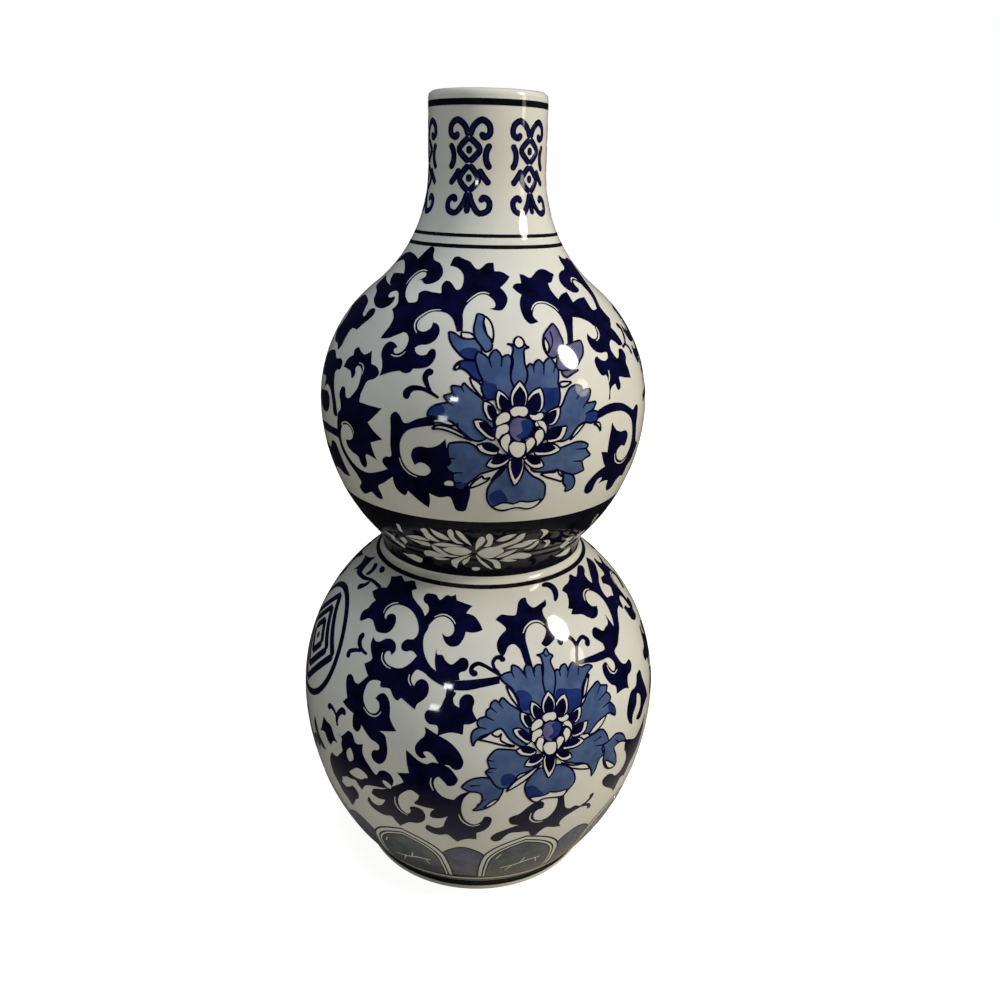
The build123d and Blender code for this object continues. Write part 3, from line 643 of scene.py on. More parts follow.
# Scrolling leaves of the lower bulb
lowerLeaves = [
    # hook at the left of the shoulder, and the vine from it to the flower
    [(-49.2, 171.4, 1), (-46, 172.7), (-44.1, 173.8), (-42, 173.2), (-39.8, 172), (-37, 173.3),
     (-34.4, 173.5), (-32.6, 171.9), (-31, 170.6, 1), (-33.2, 169.1, 1), (-31.2, 166.7), (-28, 164.4),
     (-24.6, 162.2), (-22.4, 159.6), (-20, 157.4, 1), (-19.6, 155.2), (-20.4, 151), (-19.9, 147.2),
     (-18, 142.3), (-16, 139.4), (-13.6, 137.4), (-9.5, 134.6), (-5, 135), (1.3, 136), (6.5, 136.9, 1),
     (6.5, 133.8, 1), (1.3, 132.4), (-3.5, 131), (-8, 130.9), (-12, 132.4), (-16.4, 135.2),
     (-19.6, 139.4), (-21.6, 142.8), (-23.5, 144.1), (-25.3, 143.2), (-27.1, 143.3), (-28, 145.5),
     (-26.5, 148.2), (-24.1, 148.8), (-23.1, 150.6), (-23, 152.6), (-23.8, 155), (-25.9, 158.2),
     (-28.9, 160.5), (-32.6, 161.4), (-36.2, 161.1), (-38.6, 159.5), (-39.8, 156.8), (-39.4, 154.2),
     (-38, 153.2, 1), (-38.4, 155), (-37, 156.5), (-35, 156.4), (-33.6, 154.2), (-33.5, 151),
     (-34.7, 148.6), (-37.4, 147.3), (-40.2, 147.3), (-42, 149.1), (-44.1, 150.7), (-46.5, 150.5),
     (-48.3, 148.7), (-49.8, 147.7), (-50.9, 149.5), (-50.9, 152.3), (-49.5, 154.1), (-48.9, 157.3),
     (-48, 158.9, 1), (-50.8, 159.8), (-53.2, 161.4, 1), (-51.7, 163.2), (-50.2, 164.7),
     (-47, 165.9, 1), (-47.4, 169.1)],
    # two hooks under it
    [(-40.2, 144.6, 1), (-38.4, 143.2), (-36.6, 143.8), (-35, 145.6), (-32.6, 146.4), (-30.2, 145),
     (-29.5, 142.3), (-30.5, 140, 1), (-31.7, 141.4), (-32.7, 140.8), (-33, 138.4), (-31.7, 136.4),
     (-28.9, 135.5), (-25.9, 135.9), (-23.5, 138.2), (-21.2, 142.6, 1), (-18.6, 140), (-16, 135, 1),
     (-18.3, 136.5), (-20.2, 136.9), (-21.4, 134.6), (-21.4, 131.8), (-20.2, 130, 1), (-19.5, 132.3),
     (-18, 133.6), (-16.2, 132.7), (-15.3, 130), (-15.6, 127.3), (-17.1, 124.6), (-18.3, 123.2),
     (-18.9, 120.6, 1), (-21.4, 122.4), (-23.8, 124.1, 1), (-25, 122.5), (-26.5, 123.7), (-28, 126.4),
     (-31.6, 126.2), (-31.7, 128.2, 1), (-34.4, 127.7), (-35.9, 126.4), (-36.9, 122.7), (-36.9, 118.6),
     (-35.6, 115.5), (-33.5, 113.6), (-31.4, 114.5), (-30.5, 116.8), (-31.1, 119.5), (-32.4, 120.5, 1),
     (-31.6, 122.4), (-29.8, 123.9), (-27.7, 121.8), (-26.8, 118.2), (-26.5, 114.5), (-25.6, 112.3),
     (-24, 109.5, 1), (-27.1, 108.2), (-29.8, 107.2, 1), (-27.7, 106.2), (-26.8, 102.6), (-26.6, 97.8),
     (-27.7, 93.3), (-29.5, 91.4), (-31.4, 92.3), (-32.1, 95), (-31.2, 97.5), (-29.5, 98.3), (-29.2, 100),
     (-30.5, 101.5), (-32, 101.9), (-33.8, 103.6), (-36.2, 106.8, 1), (-36.5, 104.5), (-37.7, 102.5),
     (-39.2, 103.2), (-39.8, 106.4), (-39.8, 110, 1), (-42.3, 110.7), (-45, 112.3, 1), (-43.4, 115.3, 1),
     (-44.1, 117.3), (-45.2, 120.9), (-45.5, 124.1), (-44.4, 125.6), (-42.9, 125), (-41.7, 123.3),
     (-40.2, 123.2), (-38.6, 125.5), (-37, 128.4, 1), (-38.8, 130.8), (-39.9, 132.5, 1), (-38.3, 134.1),
     (-37.4, 135.4), (-38.9, 138.6), (-40, 141)],
    # hook at the middle of the shoulder
    [(-26, 167.8), (-25.4, 169.5), (-22.9, 170), (-20.3, 169.7), (-18.2, 167.7), (-15.4, 170.5),
     (-13.2, 170.3), (-11.5, 171.3, 1), (-10.4, 168.6, 1), (-7, 167.6), (-3.2, 166.5, 1), (-5, 164.4),
     (-5.7, 163, 1), (-2.7, 162.2), (-0.4, 159.6), (1.1, 156, 1), (-2, 154.8), (-5.2, 155, 1),
     (-6, 151.5), (-7.8, 148.8), (-10.4, 148.4), (-12.6, 150.4), (-13.9, 153.6, 1), (-12, 152.3),
     (-10.3, 153.2), (-9.6, 155.2), (-10.2, 157.8), (-12, 159.7), (-14.6, 160.7), (-17.4, 159.5),
     (-19.6, 156, 1), (-22.6, 159, 1), (-21.5, 162.4), (-22.8, 164.6), (-24.8, 165.5)],
    # leaves left of the flower
    [(-14.9, 147, 1), (-14.2, 144.4), (-12.6, 144.6), (-11.2, 142.4), (-9, 141), (-7.4, 142.6),
     (-6.2, 144.1), (-4.2, 143.9), (-3.4, 141.6), (-4.2, 139), (-6.2, 137.9), (-6, 135, 1),
     (-10, 134.6), (-13.9, 137.7, 1), (-14.8, 142)],
    [(-15.8, 119.6), (-15, 121.4), (-13.4, 121.4), (-11.4, 122.8), (-10.2, 127), (-8.6, 129.9),
     (-6.8, 129.8), (-7.6, 127.4), (-7, 124.8), (-5.6, 123.9, 1), (-5.5, 127.4), (-4.2, 129.3),
     (-2.2, 129.2), (-1.2, 126.8), (-1.7, 123.6), (-0.2, 118.9, 1), (-2.2, 117.2), (-4.1, 117, 1),
     (-4.3, 112.5, 1), (-7.4, 113.2), (-11.6, 111, 1), (-11.8, 115.4), (-14.4, 115.8), (-15.5, 117.4)],
    [(-15.4, 114.2, 1), (-11.6, 111.6), (-8, 109), (-6.4, 107), (-4.7, 103.6), (-3.9, 100), (-4.8, 97),
     (-6.6, 96.6), (-8, 98.5), (-10.4, 98.2), (-12.2, 101.6), (-14, 103.6), (-15.4, 103),
     (-14.4, 100.8, 1), (-16, 100), (-17.6, 101.8), (-17.9, 105), (-16.7, 108), (-15.2, 110.6)],
    # hooks under them
    [(-20.6, 102.4, 1), (-18.8, 100.6), (-16.8, 98.6), (-14.4, 97.6), (-12.6, 99), (-10.6, 98.6),
     (-8.2, 97.6), (-6.4, 94.6), (-5.4, 91.8), (-6.6, 88.7), (-8.4, 88.2, 1), (-9.6, 90.6), (-11, 92.3),
     (-12.3, 89.5), (-11.7, 85.5), (-9.8, 82.3), (-6.5, 81.1, 1), (-4.6, 84.4), (-1.4, 86.2, 1),
     (-3.6, 82.4), (-4.4, 78), (-4.2, 73), (-3, 69), (-0.6, 67.1), (1.6, 69.4, 1), (2.4, 72),
     (4.2, 71.2), (4.2, 67.6), (2.4, 63.4), (0, 61.5, 1), (0, 57, 1), (-3, 57), (-5.9, 54.6, 1),
     (-7.2, 56.4), (-8.9, 59.1), (-11.4, 58.2), (-13.8, 58.6), (-15.7, 61), (-15.2, 63.6),
     (-12.4, 62.7), (-10.2, 64.2), (-9.4, 67.6), (-8.5, 71.1, 1), (-11.2, 69.2), (-13.8, 69.5),
     (-13.6, 72), (-12.3, 74.5, 1), (-15.4, 74.7), (-18.6, 75.9), (-17.4, 78), (-16.8, 80.6, 1),
     (-19.2, 82.7), (-21.4, 80.8), (-23.2, 77.6), (-23.7, 73.6), (-22.8, 69.6), (-21, 68.1),
     (-19.8, 70.4, 1), (-20, 72.6), (-18, 73.6), (-16.2, 72.7), (-15.3, 69.5), (-15.9, 66), (-18, 63.6),
     (-21.1, 62.5), (-22.6, 60.6), (-24.4, 58.2, 1), (-25.9, 60.9), (-26.8, 62.9), (-29.5, 61.8),
     (-32.6, 62.3), (-34.7, 64.1), (-35.6, 66.8), (-34.7, 70, 1), (-33.2, 66.9), (-31.4, 66.8),
     (-29.8, 68.6), (-28.3, 72.3, 1), (-31.4, 71.8), (-33.2, 72.8), (-32.6, 75.5), (-28.6, 78.4),
     (-24.6, 82.4), (-21.4, 86, 1), (-22.3, 88.2), (-23.4, 90, 1), (-19.6, 91.4, 1), (-20.2, 95.5)],
    [(-46.2, 96, 1), (-45, 95.3), (-43.6, 97.2), (-41.4, 100.8, 1), (-39.7, 100.6), (-38.2, 96.8),
     (-35.2, 98, 1), (-35.4, 94), (-32.8, 87.9), (-30.6, 85), (-29.4, 87.8), (-27.4, 89), (-25.5, 87.8),
     (-24.7, 85), (-25.4, 81.8), (-28, 79.4), (-31, 78.3), (-33.2, 77.4), (-35.3, 75.9),
     (-37.1, 71.9, 1), (-38.4, 73.9), (-39.4, 75.7), (-41.6, 75), (-43.6, 74.7), (-45.4, 73),
     (-49, 70.6), (-52.2, 70, 1), (-52.6, 76.3), (-50.4, 82.6, 1), (-48, 82.4), (-45.8, 85.6),
     (-44.2, 88.4), (-44.6, 92.2), (-44.2, 94.6)],
    [(-50, 74), (-47, 73.6), (-46.4, 71), (-47.4, 68.4), (-46, 67), (-43, 69.2), (-41.4, 71),
     (-39.8, 69), (-39.6, 65.4), (-41.8, 62), (-43.6, 57.8), (-45.6, 54.4, 1), (-46.8, 58),
     (-48.6, 60.4), (-50.4, 65.6), (-52.4, 69.6)],
    [(-54.4, 98.6, 1), (-52.4, 97.6), (-49.8, 97), (-48.2, 93.2), (-46.6, 90.6, 1), (-48.8, 90.2),
     (-50, 87.2, 1), (-51.2, 86.8), (-52.6, 88.2), (-53.6, 90.6), (-57, 88.8, 1), (-55.4, 93.8)],
    # under the flower
    [(4.3, 57.4), (5.3, 60.2), (7.6, 62.2), (12.7, 65, 1), (10, 66.6), (9.5, 70), (12.8, 72.3),
     (14.6, 75), (16.4, 76.9), (18.7, 77.5), (20, 75.4), (19.6, 72.9, 1), (17.8, 72.4), (17, 70),
     (17.5, 67), (19.4, 65.5), (22, 66.4), (23.7, 69.6), (24.1, 79, 1), (26.3, 79, 1), (26.9, 73),
     (27.8, 69), (29.3, 67.5), (31.2, 68), (33.4, 65.6, 1), (30.7, 64.2), (28, 62.6), (26.7, 60.2),
     (27.5, 56.9, 1), (24.7, 58), (22, 59.5), (20.3, 58), (19, 55.4, 1), (16.9, 56.6), (16.3, 59),
     (13.2, 60), (10, 60), (8.6, 58), (7.5, 55.6), (5.6, 55)],
    # over the flower
    [(6.1, 150), (6.8, 152.2), (8.4, 154.3), (10, 156), (8.4, 158.5), (6.2, 160.3, 1), (8.8, 162.5),
     (11.6, 162), (14.6, 161.8), (15.8, 164.4), (17.2, 167.6), (19.2, 169), (21, 169.1, 1), (21.2, 166),
     (22.8, 164), (26, 164.8), (30, 166.4, 1), (29, 163.6), (26.8, 162.4), (26.4, 160), (27.4, 156.4),
     (29, 153.6), (28.4, 150), (26, 147.4), (23.4, 146.6), (22.2, 148.2, 1), (24.4, 151), (25.4, 153.6),
     (24.5, 155.6), (22.6, 157), (20.2, 156.8), (18, 155), (16.8, 151.6), (17, 147), (17.8, 138.6, 1),
     (15.6, 138.6, 1), (14.8, 143), (13.8, 147.6), (12.2, 149.5), (10, 148.6), (9, 146.2), (7.8, 144.6),
     (6.6, 146.4)],
    # hook, vine and leaf at the right
    [(40.6, 168, 1), (43, 169.5), (46, 170.1), (49, 171.5), (51, 173.2), (52.4, 173), (53.7, 171),
     (57, 172), (60, 173.6), (63.4, 174.2), (65.4, 172.8), (63.6, 170.4), (61, 169.4), (60.3, 167.4),
     (61, 164, 1), (65, 167.6), (70, 171), (76, 173.6, 1), (78, 170), (72, 165), (65.6, 161.4),
     (63.4, 158), (63.6, 154.4, 1), (67.4, 153.6), (70.2, 151), (68.8, 148), (65.4, 147), (62.6, 144.4),
     (60, 140.8), (57.2, 138), (54.6, 135.2), (51.6, 133.4), (52.2, 130), (53.8, 126.6), (55.4, 125.6),
     (58.2, 126), (58.9, 123.8), (57.6, 121), (55.2, 120.4, 1), (54.4, 119), (54, 114.4, 1),
     (51.6, 116), (49.6, 116.2), (47.3, 116, 1), (47.2, 120), (45.8, 121.2), (44.2, 124.2), (43.3, 128),
     (43.8, 131.2), (45.6, 131.8), (46.8, 128.6), (48.2, 126.2), (49.4, 127.4), (49.2, 130.6),
     (47.6, 132.8), (44.6, 133.2), (41, 133.8), (37.2, 135), (33.6, 135.4, 1), (33.6, 137.2, 1),
     (38, 137.2), (44, 137), (47.3, 137.2), (47.4, 139.2), (45.8, 141.6), (44.2, 144), (44.8, 146.6),
     (46.8, 147.6), (48.5, 146), (50.2, 144.2), (52.2, 145), (54.4, 145.6), (55.6, 150, 1),
     (57, 142.8, 1), (58.7, 146.6), (59.8, 151), (59.9, 156), (58.3, 160), (56, 162.2), (53.4, 162.5),
     (51, 161), (50.3, 158.6), (50.8, 156.6), (54, 155, 1), (52.6, 152.4), (50.6, 151), (48.2, 151),
     (46, 152.6), (43.8, 155), (41.2, 155.8), (38.7, 156.8, 1), (40.6, 158.6, 1), (38.6, 159.6, 1),
     (40.8, 162.6), (42, 166, 1)],
    # lower right
    [(41.4, 76), (43.6, 77.4), (46, 75.8), (48, 73), (51.6, 73.6), (53.2, 77.5), (52.4, 82), (50.8, 86),
     (51, 91, 1), (54, 88.6), (58, 86), (62, 88), (66, 92, 1), (65, 84), (62, 76), (58, 72), (55.6, 66, 1),
     (53, 67.6), (50.6, 61, 1), (47.6, 65.4), (44, 69.6), (42, 72.6)],
    [(51.4, 103.6), (52.4, 108), (55, 112.2), (58.6, 112.6), (60.4, 116.6, 1), (63.6, 117), (64.6, 112),
     (66.6, 106), (68.6, 100, 1), (64, 98), (60.6, 94.4), (57.4, 96.6), (60.6, 100.4), (60.8, 106.4),
     (58.8, 108.6), (57.6, 104), (55, 100.4), (54.6, 96, 1), (52.6, 98.4)],
    # at the left edge, and over the medallion
    [(-61.6, 93, 1), (-60, 89.6), (-58.6, 85), (-56.6, 83.2), (-54.4, 80.2, 1), (-56.6, 79.4),
     (-58.6, 79.6), (-60.6, 82.4), (-62.4, 87)],
    [(-61.4, 172.4, 1), (-58.6, 173.2), (-56, 171.6), (-57.6, 169.8), (-60, 170.8)],
    [(-68.4, 171, 1), (-65.6, 172.2), (-63, 169.6), (-63.6, 166), (-66.4, 164.8), (-66, 168.6)],
    [(-78, 170), (-73, 173, 1), (-72, 167), (-69.6, 162, 1), (-74, 163), (-80, 160, 1), (-79, 165),
     (-84, 168, 1)],
]
lowerTendrils = [
    [(-40, 136.6, 1.2), (-43, 137.4, 1.8), (-45.2, 139.6, 2.6), (-45.4, 142.4, 3), (-44.2, 143, 3.4)],
    [(-43, 136.8, 1.6), (-46, 135.6, 1.8), (-48.2, 133.4, 2.4), (-47.6, 131.2, 3.4)],
    [(-46.4, 99.5, 1.2), (-46.9, 103, 2), (-46, 106.4, 2.6), (-44.2, 108.4, 3), (-43.4, 106.8, 3)],
    [(-46.8, 103.4, 1.2), (-49, 106, 1.8), (-51, 106.4, 2.4), (-51.6, 104.4, 3.2)],
    [(7, 137, 1.4), (4.5, 139, 1.4), (2, 141, 1.5), (-0.5, 142, 1.8), (-2.5, 140, 2), (-2, 138, 2.4),
     (-0.5, 138.5, 2.8)],
    [(6.5, 138, 1.4), (5, 140, 1.4), (4.5, 142.5, 1.5), (6, 144.5, 1.8), (7.5, 144, 2.2), (8, 142.5, 3)],
    [(34, 164.5, 1), (36, 167, 2.6), (36.8, 170.4, 3.4), (35, 172.6, 3), (31.4, 172.8, 1.4)],
    [(33.5, 135.5, 1.4), (34.5, 139.5, 1.4), (35.5, 143.5, 1.6), (34.5, 147, 1.8), (31.5, 149, 2),
     (29.5, 147.5, 2.4), (30.5, 146, 3)],
    [(35, 141, 1.2), (36.5, 144.5, 1.6), (39.5, 146, 2), (41, 143.5, 2.6), (39.5, 142, 3.2)],
    [(30, 65.2, 1.6), (33.4, 65.8, 1.2), (35.6, 66.6, 1.4), (37.4, 68.6, 2), (37.6, 71, 3.2)],
    [(34.4, 65.4, 1.2), (36.8, 64.6, 1.6), (37.8, 62.4, 2.2), (37.6, 61.2, 3)],
    [(-8.6, 132, 3.4), (-8.8, 128, 3.2), (-9.2, 123, 3.6)],
    [(-76, 162.6, 2.4), (-65, 163.4, 2), (-59, 165, 1.6), (-50, 164.6, 1.8)],
    [(-59, 164, 1.6), (-61.4, 160.4, 2.6), (-64.2, 158.6, 3.6)],
]
lowerWhites = [
    [(-40.4, 92.8, 0.6), (-40.6, 90.4, 3.6), (-40.8, 88, 4.4), (-41.2, 85.2, 0.8)],
    [(-41.7, 78.7, 1), (-39, 80, 4.6), (-37, 81.4, 5.6), (-35.4, 81.8, 3.6), (-34, 81.4, 1)],
    [(-28.4, 83.4, 1.2), (-27, 82, 2.6), (-25.6, 80.8, 2)],
    [(-40.6, 155.4, 0.3), (-40.8, 158, 0.5), (-39, 160.6, 0.6), (-36.4, 162, 0.4)],
    [(-34, 140, 0.3), (-33.8, 137.6, 0.5), (-32, 135.4, 0.5), (-29.4, 134.6, 0.3)],
    [(-22.4, 134.4, 0.3), (-22.3, 131.8, 0.5), (-21.2, 130, 0.3)],
    [(-36.2, 114.8, 0.3), (-33.6, 112.7, 0.6), (-31, 113.4, 0.5), (-29.7, 115.8, 0.3)],
    [(-18.4, 159.8, 0.3), (-14.8, 161.6, 0.5), (-11.4, 160.4, 0.5), (-9.4, 158, 0.3)],
    [(-13, 91.4, 0.3), (-13.2, 88, 0.6), (-12.4, 84.8, 0.3)],
    [(-24.6, 76.6, 0.3), (-24.7, 72.4, 0.6), (-23, 68.4, 0.5), (-21, 67.2, 0.3)],
    [(-5.2, 73, 0.3), (-4.2, 69, 0.6), (-1.2, 66.2, 0.5), (1, 67.2, 0.3)],
    [(16.2, 71.4, 0.3), (16, 68, 0.6), (18, 65, 0.5), (20.4, 64.6, 0.3)],
    [(16.2, 153.6, 0.4), (18, 156.4, 0.6), (20.6, 157.9, 0.7), (23.4, 157.7, 0.6), (25.4, 155.6, 0.4)],
    [(49.3, 159.6, 0.4), (50.4, 162, 0.6), (53, 163.5, 0.6), (56, 163, 0.3)],
    [(45.8, 130.4, 0.3), (46.2, 127.4, 0.5), (48.2, 125.2, 0.5), (50, 126, 0.3)],
]
drawScroll("lower", lowerLeaves, lowerTendrils, lowerWhites)
print("lower scroll drawn")


def edgeShape(pot, points, width, layer, turns=(0, 180)):
    # A drawn line round a shape: one stroke between each two sharp points.
    for piece in outlineRun(points)[1]:
        every = np.linspace(0, len(piece) - 1, max(2, len(piece) // 2)).astype(int)
        kept = piece[np.unique(every)]
        kept[:, 2] = width
        lay(pot, brush(kept), layer, turns)


# The flowers and the waist's spray were drawn over crops of the photograph, and their points are the
# enlarged crops' pixels: the photo's pixel at a crop's corner, how many times it is enlarged, and a chart
# point near its middle
crops = dict(
    upperFlower=dict(corner=(425, 300), enlarged=9.0, middle=(11, 260)),
    upperFoot=dict(corner=(420, 300), enlarged=7.125, middle=(11, 245)),
    lowerFlower=dict(corner=(440, 630), enlarged=7.127, middle=(20, 113)),
    waist=dict(corner=(370, 500), enlarged=6.817, middle=(0, 200)))


def seenAt(chart):
    # The photo's pixel at which the camera sees each chart point.
    place = onVase(chart[:, 0], chart[:, 1], 0)[0] - np.array(view["place"])
    right, up, back = (place @ np.array(cameraTurn)).T
    focal = view["pixels"] * view["lens"] / view["sensor"]
    return view["pixels"] / 2 + focal * np.stack([-right / back, up / back], 1)


def picked(crop, points, nudge=0.01, steps=12):
    # The chart points that the camera sees at a crop's pixels, by Newton's steps from the crop's middle.
    if not points:
        return []
    crop = crops[crop]
    target = np.array(crop["corner"]) + np.array([p[:2] for p in points]) / crop["enlarged"]
    chart = np.tile(np.array(crop["middle"], float), (len(points), 1))
    for _ in range(steps):
        here = seenAt(chart)
        across = (seenAt(chart + (nudge, 0)) - here) / nudge
        up = (seenAt(chart + (0, nudge)) - here) / nudge
        miss = target - here
        size = across[:, 0] * up[:, 1] - across[:, 1] * up[:, 0]
        chart[:, 0] += (miss[:, 0] * up[:, 1] - miss[:, 1] * up[:, 0]) / size
        chart[:, 1] += (across[:, 0] * miss[:, 1] - across[:, 1] * miss[:, 0]) / size
    return [tuple(spot) + tuple(p[2:]) for spot, p in zip(chart.tolist(), points)]


def petal(crop, level, pot, edge, deep=(), veins=()):
    return level, pot, picked(crop, edge), picked(crop, deep), [picked(crop, vein) for vein in veins]


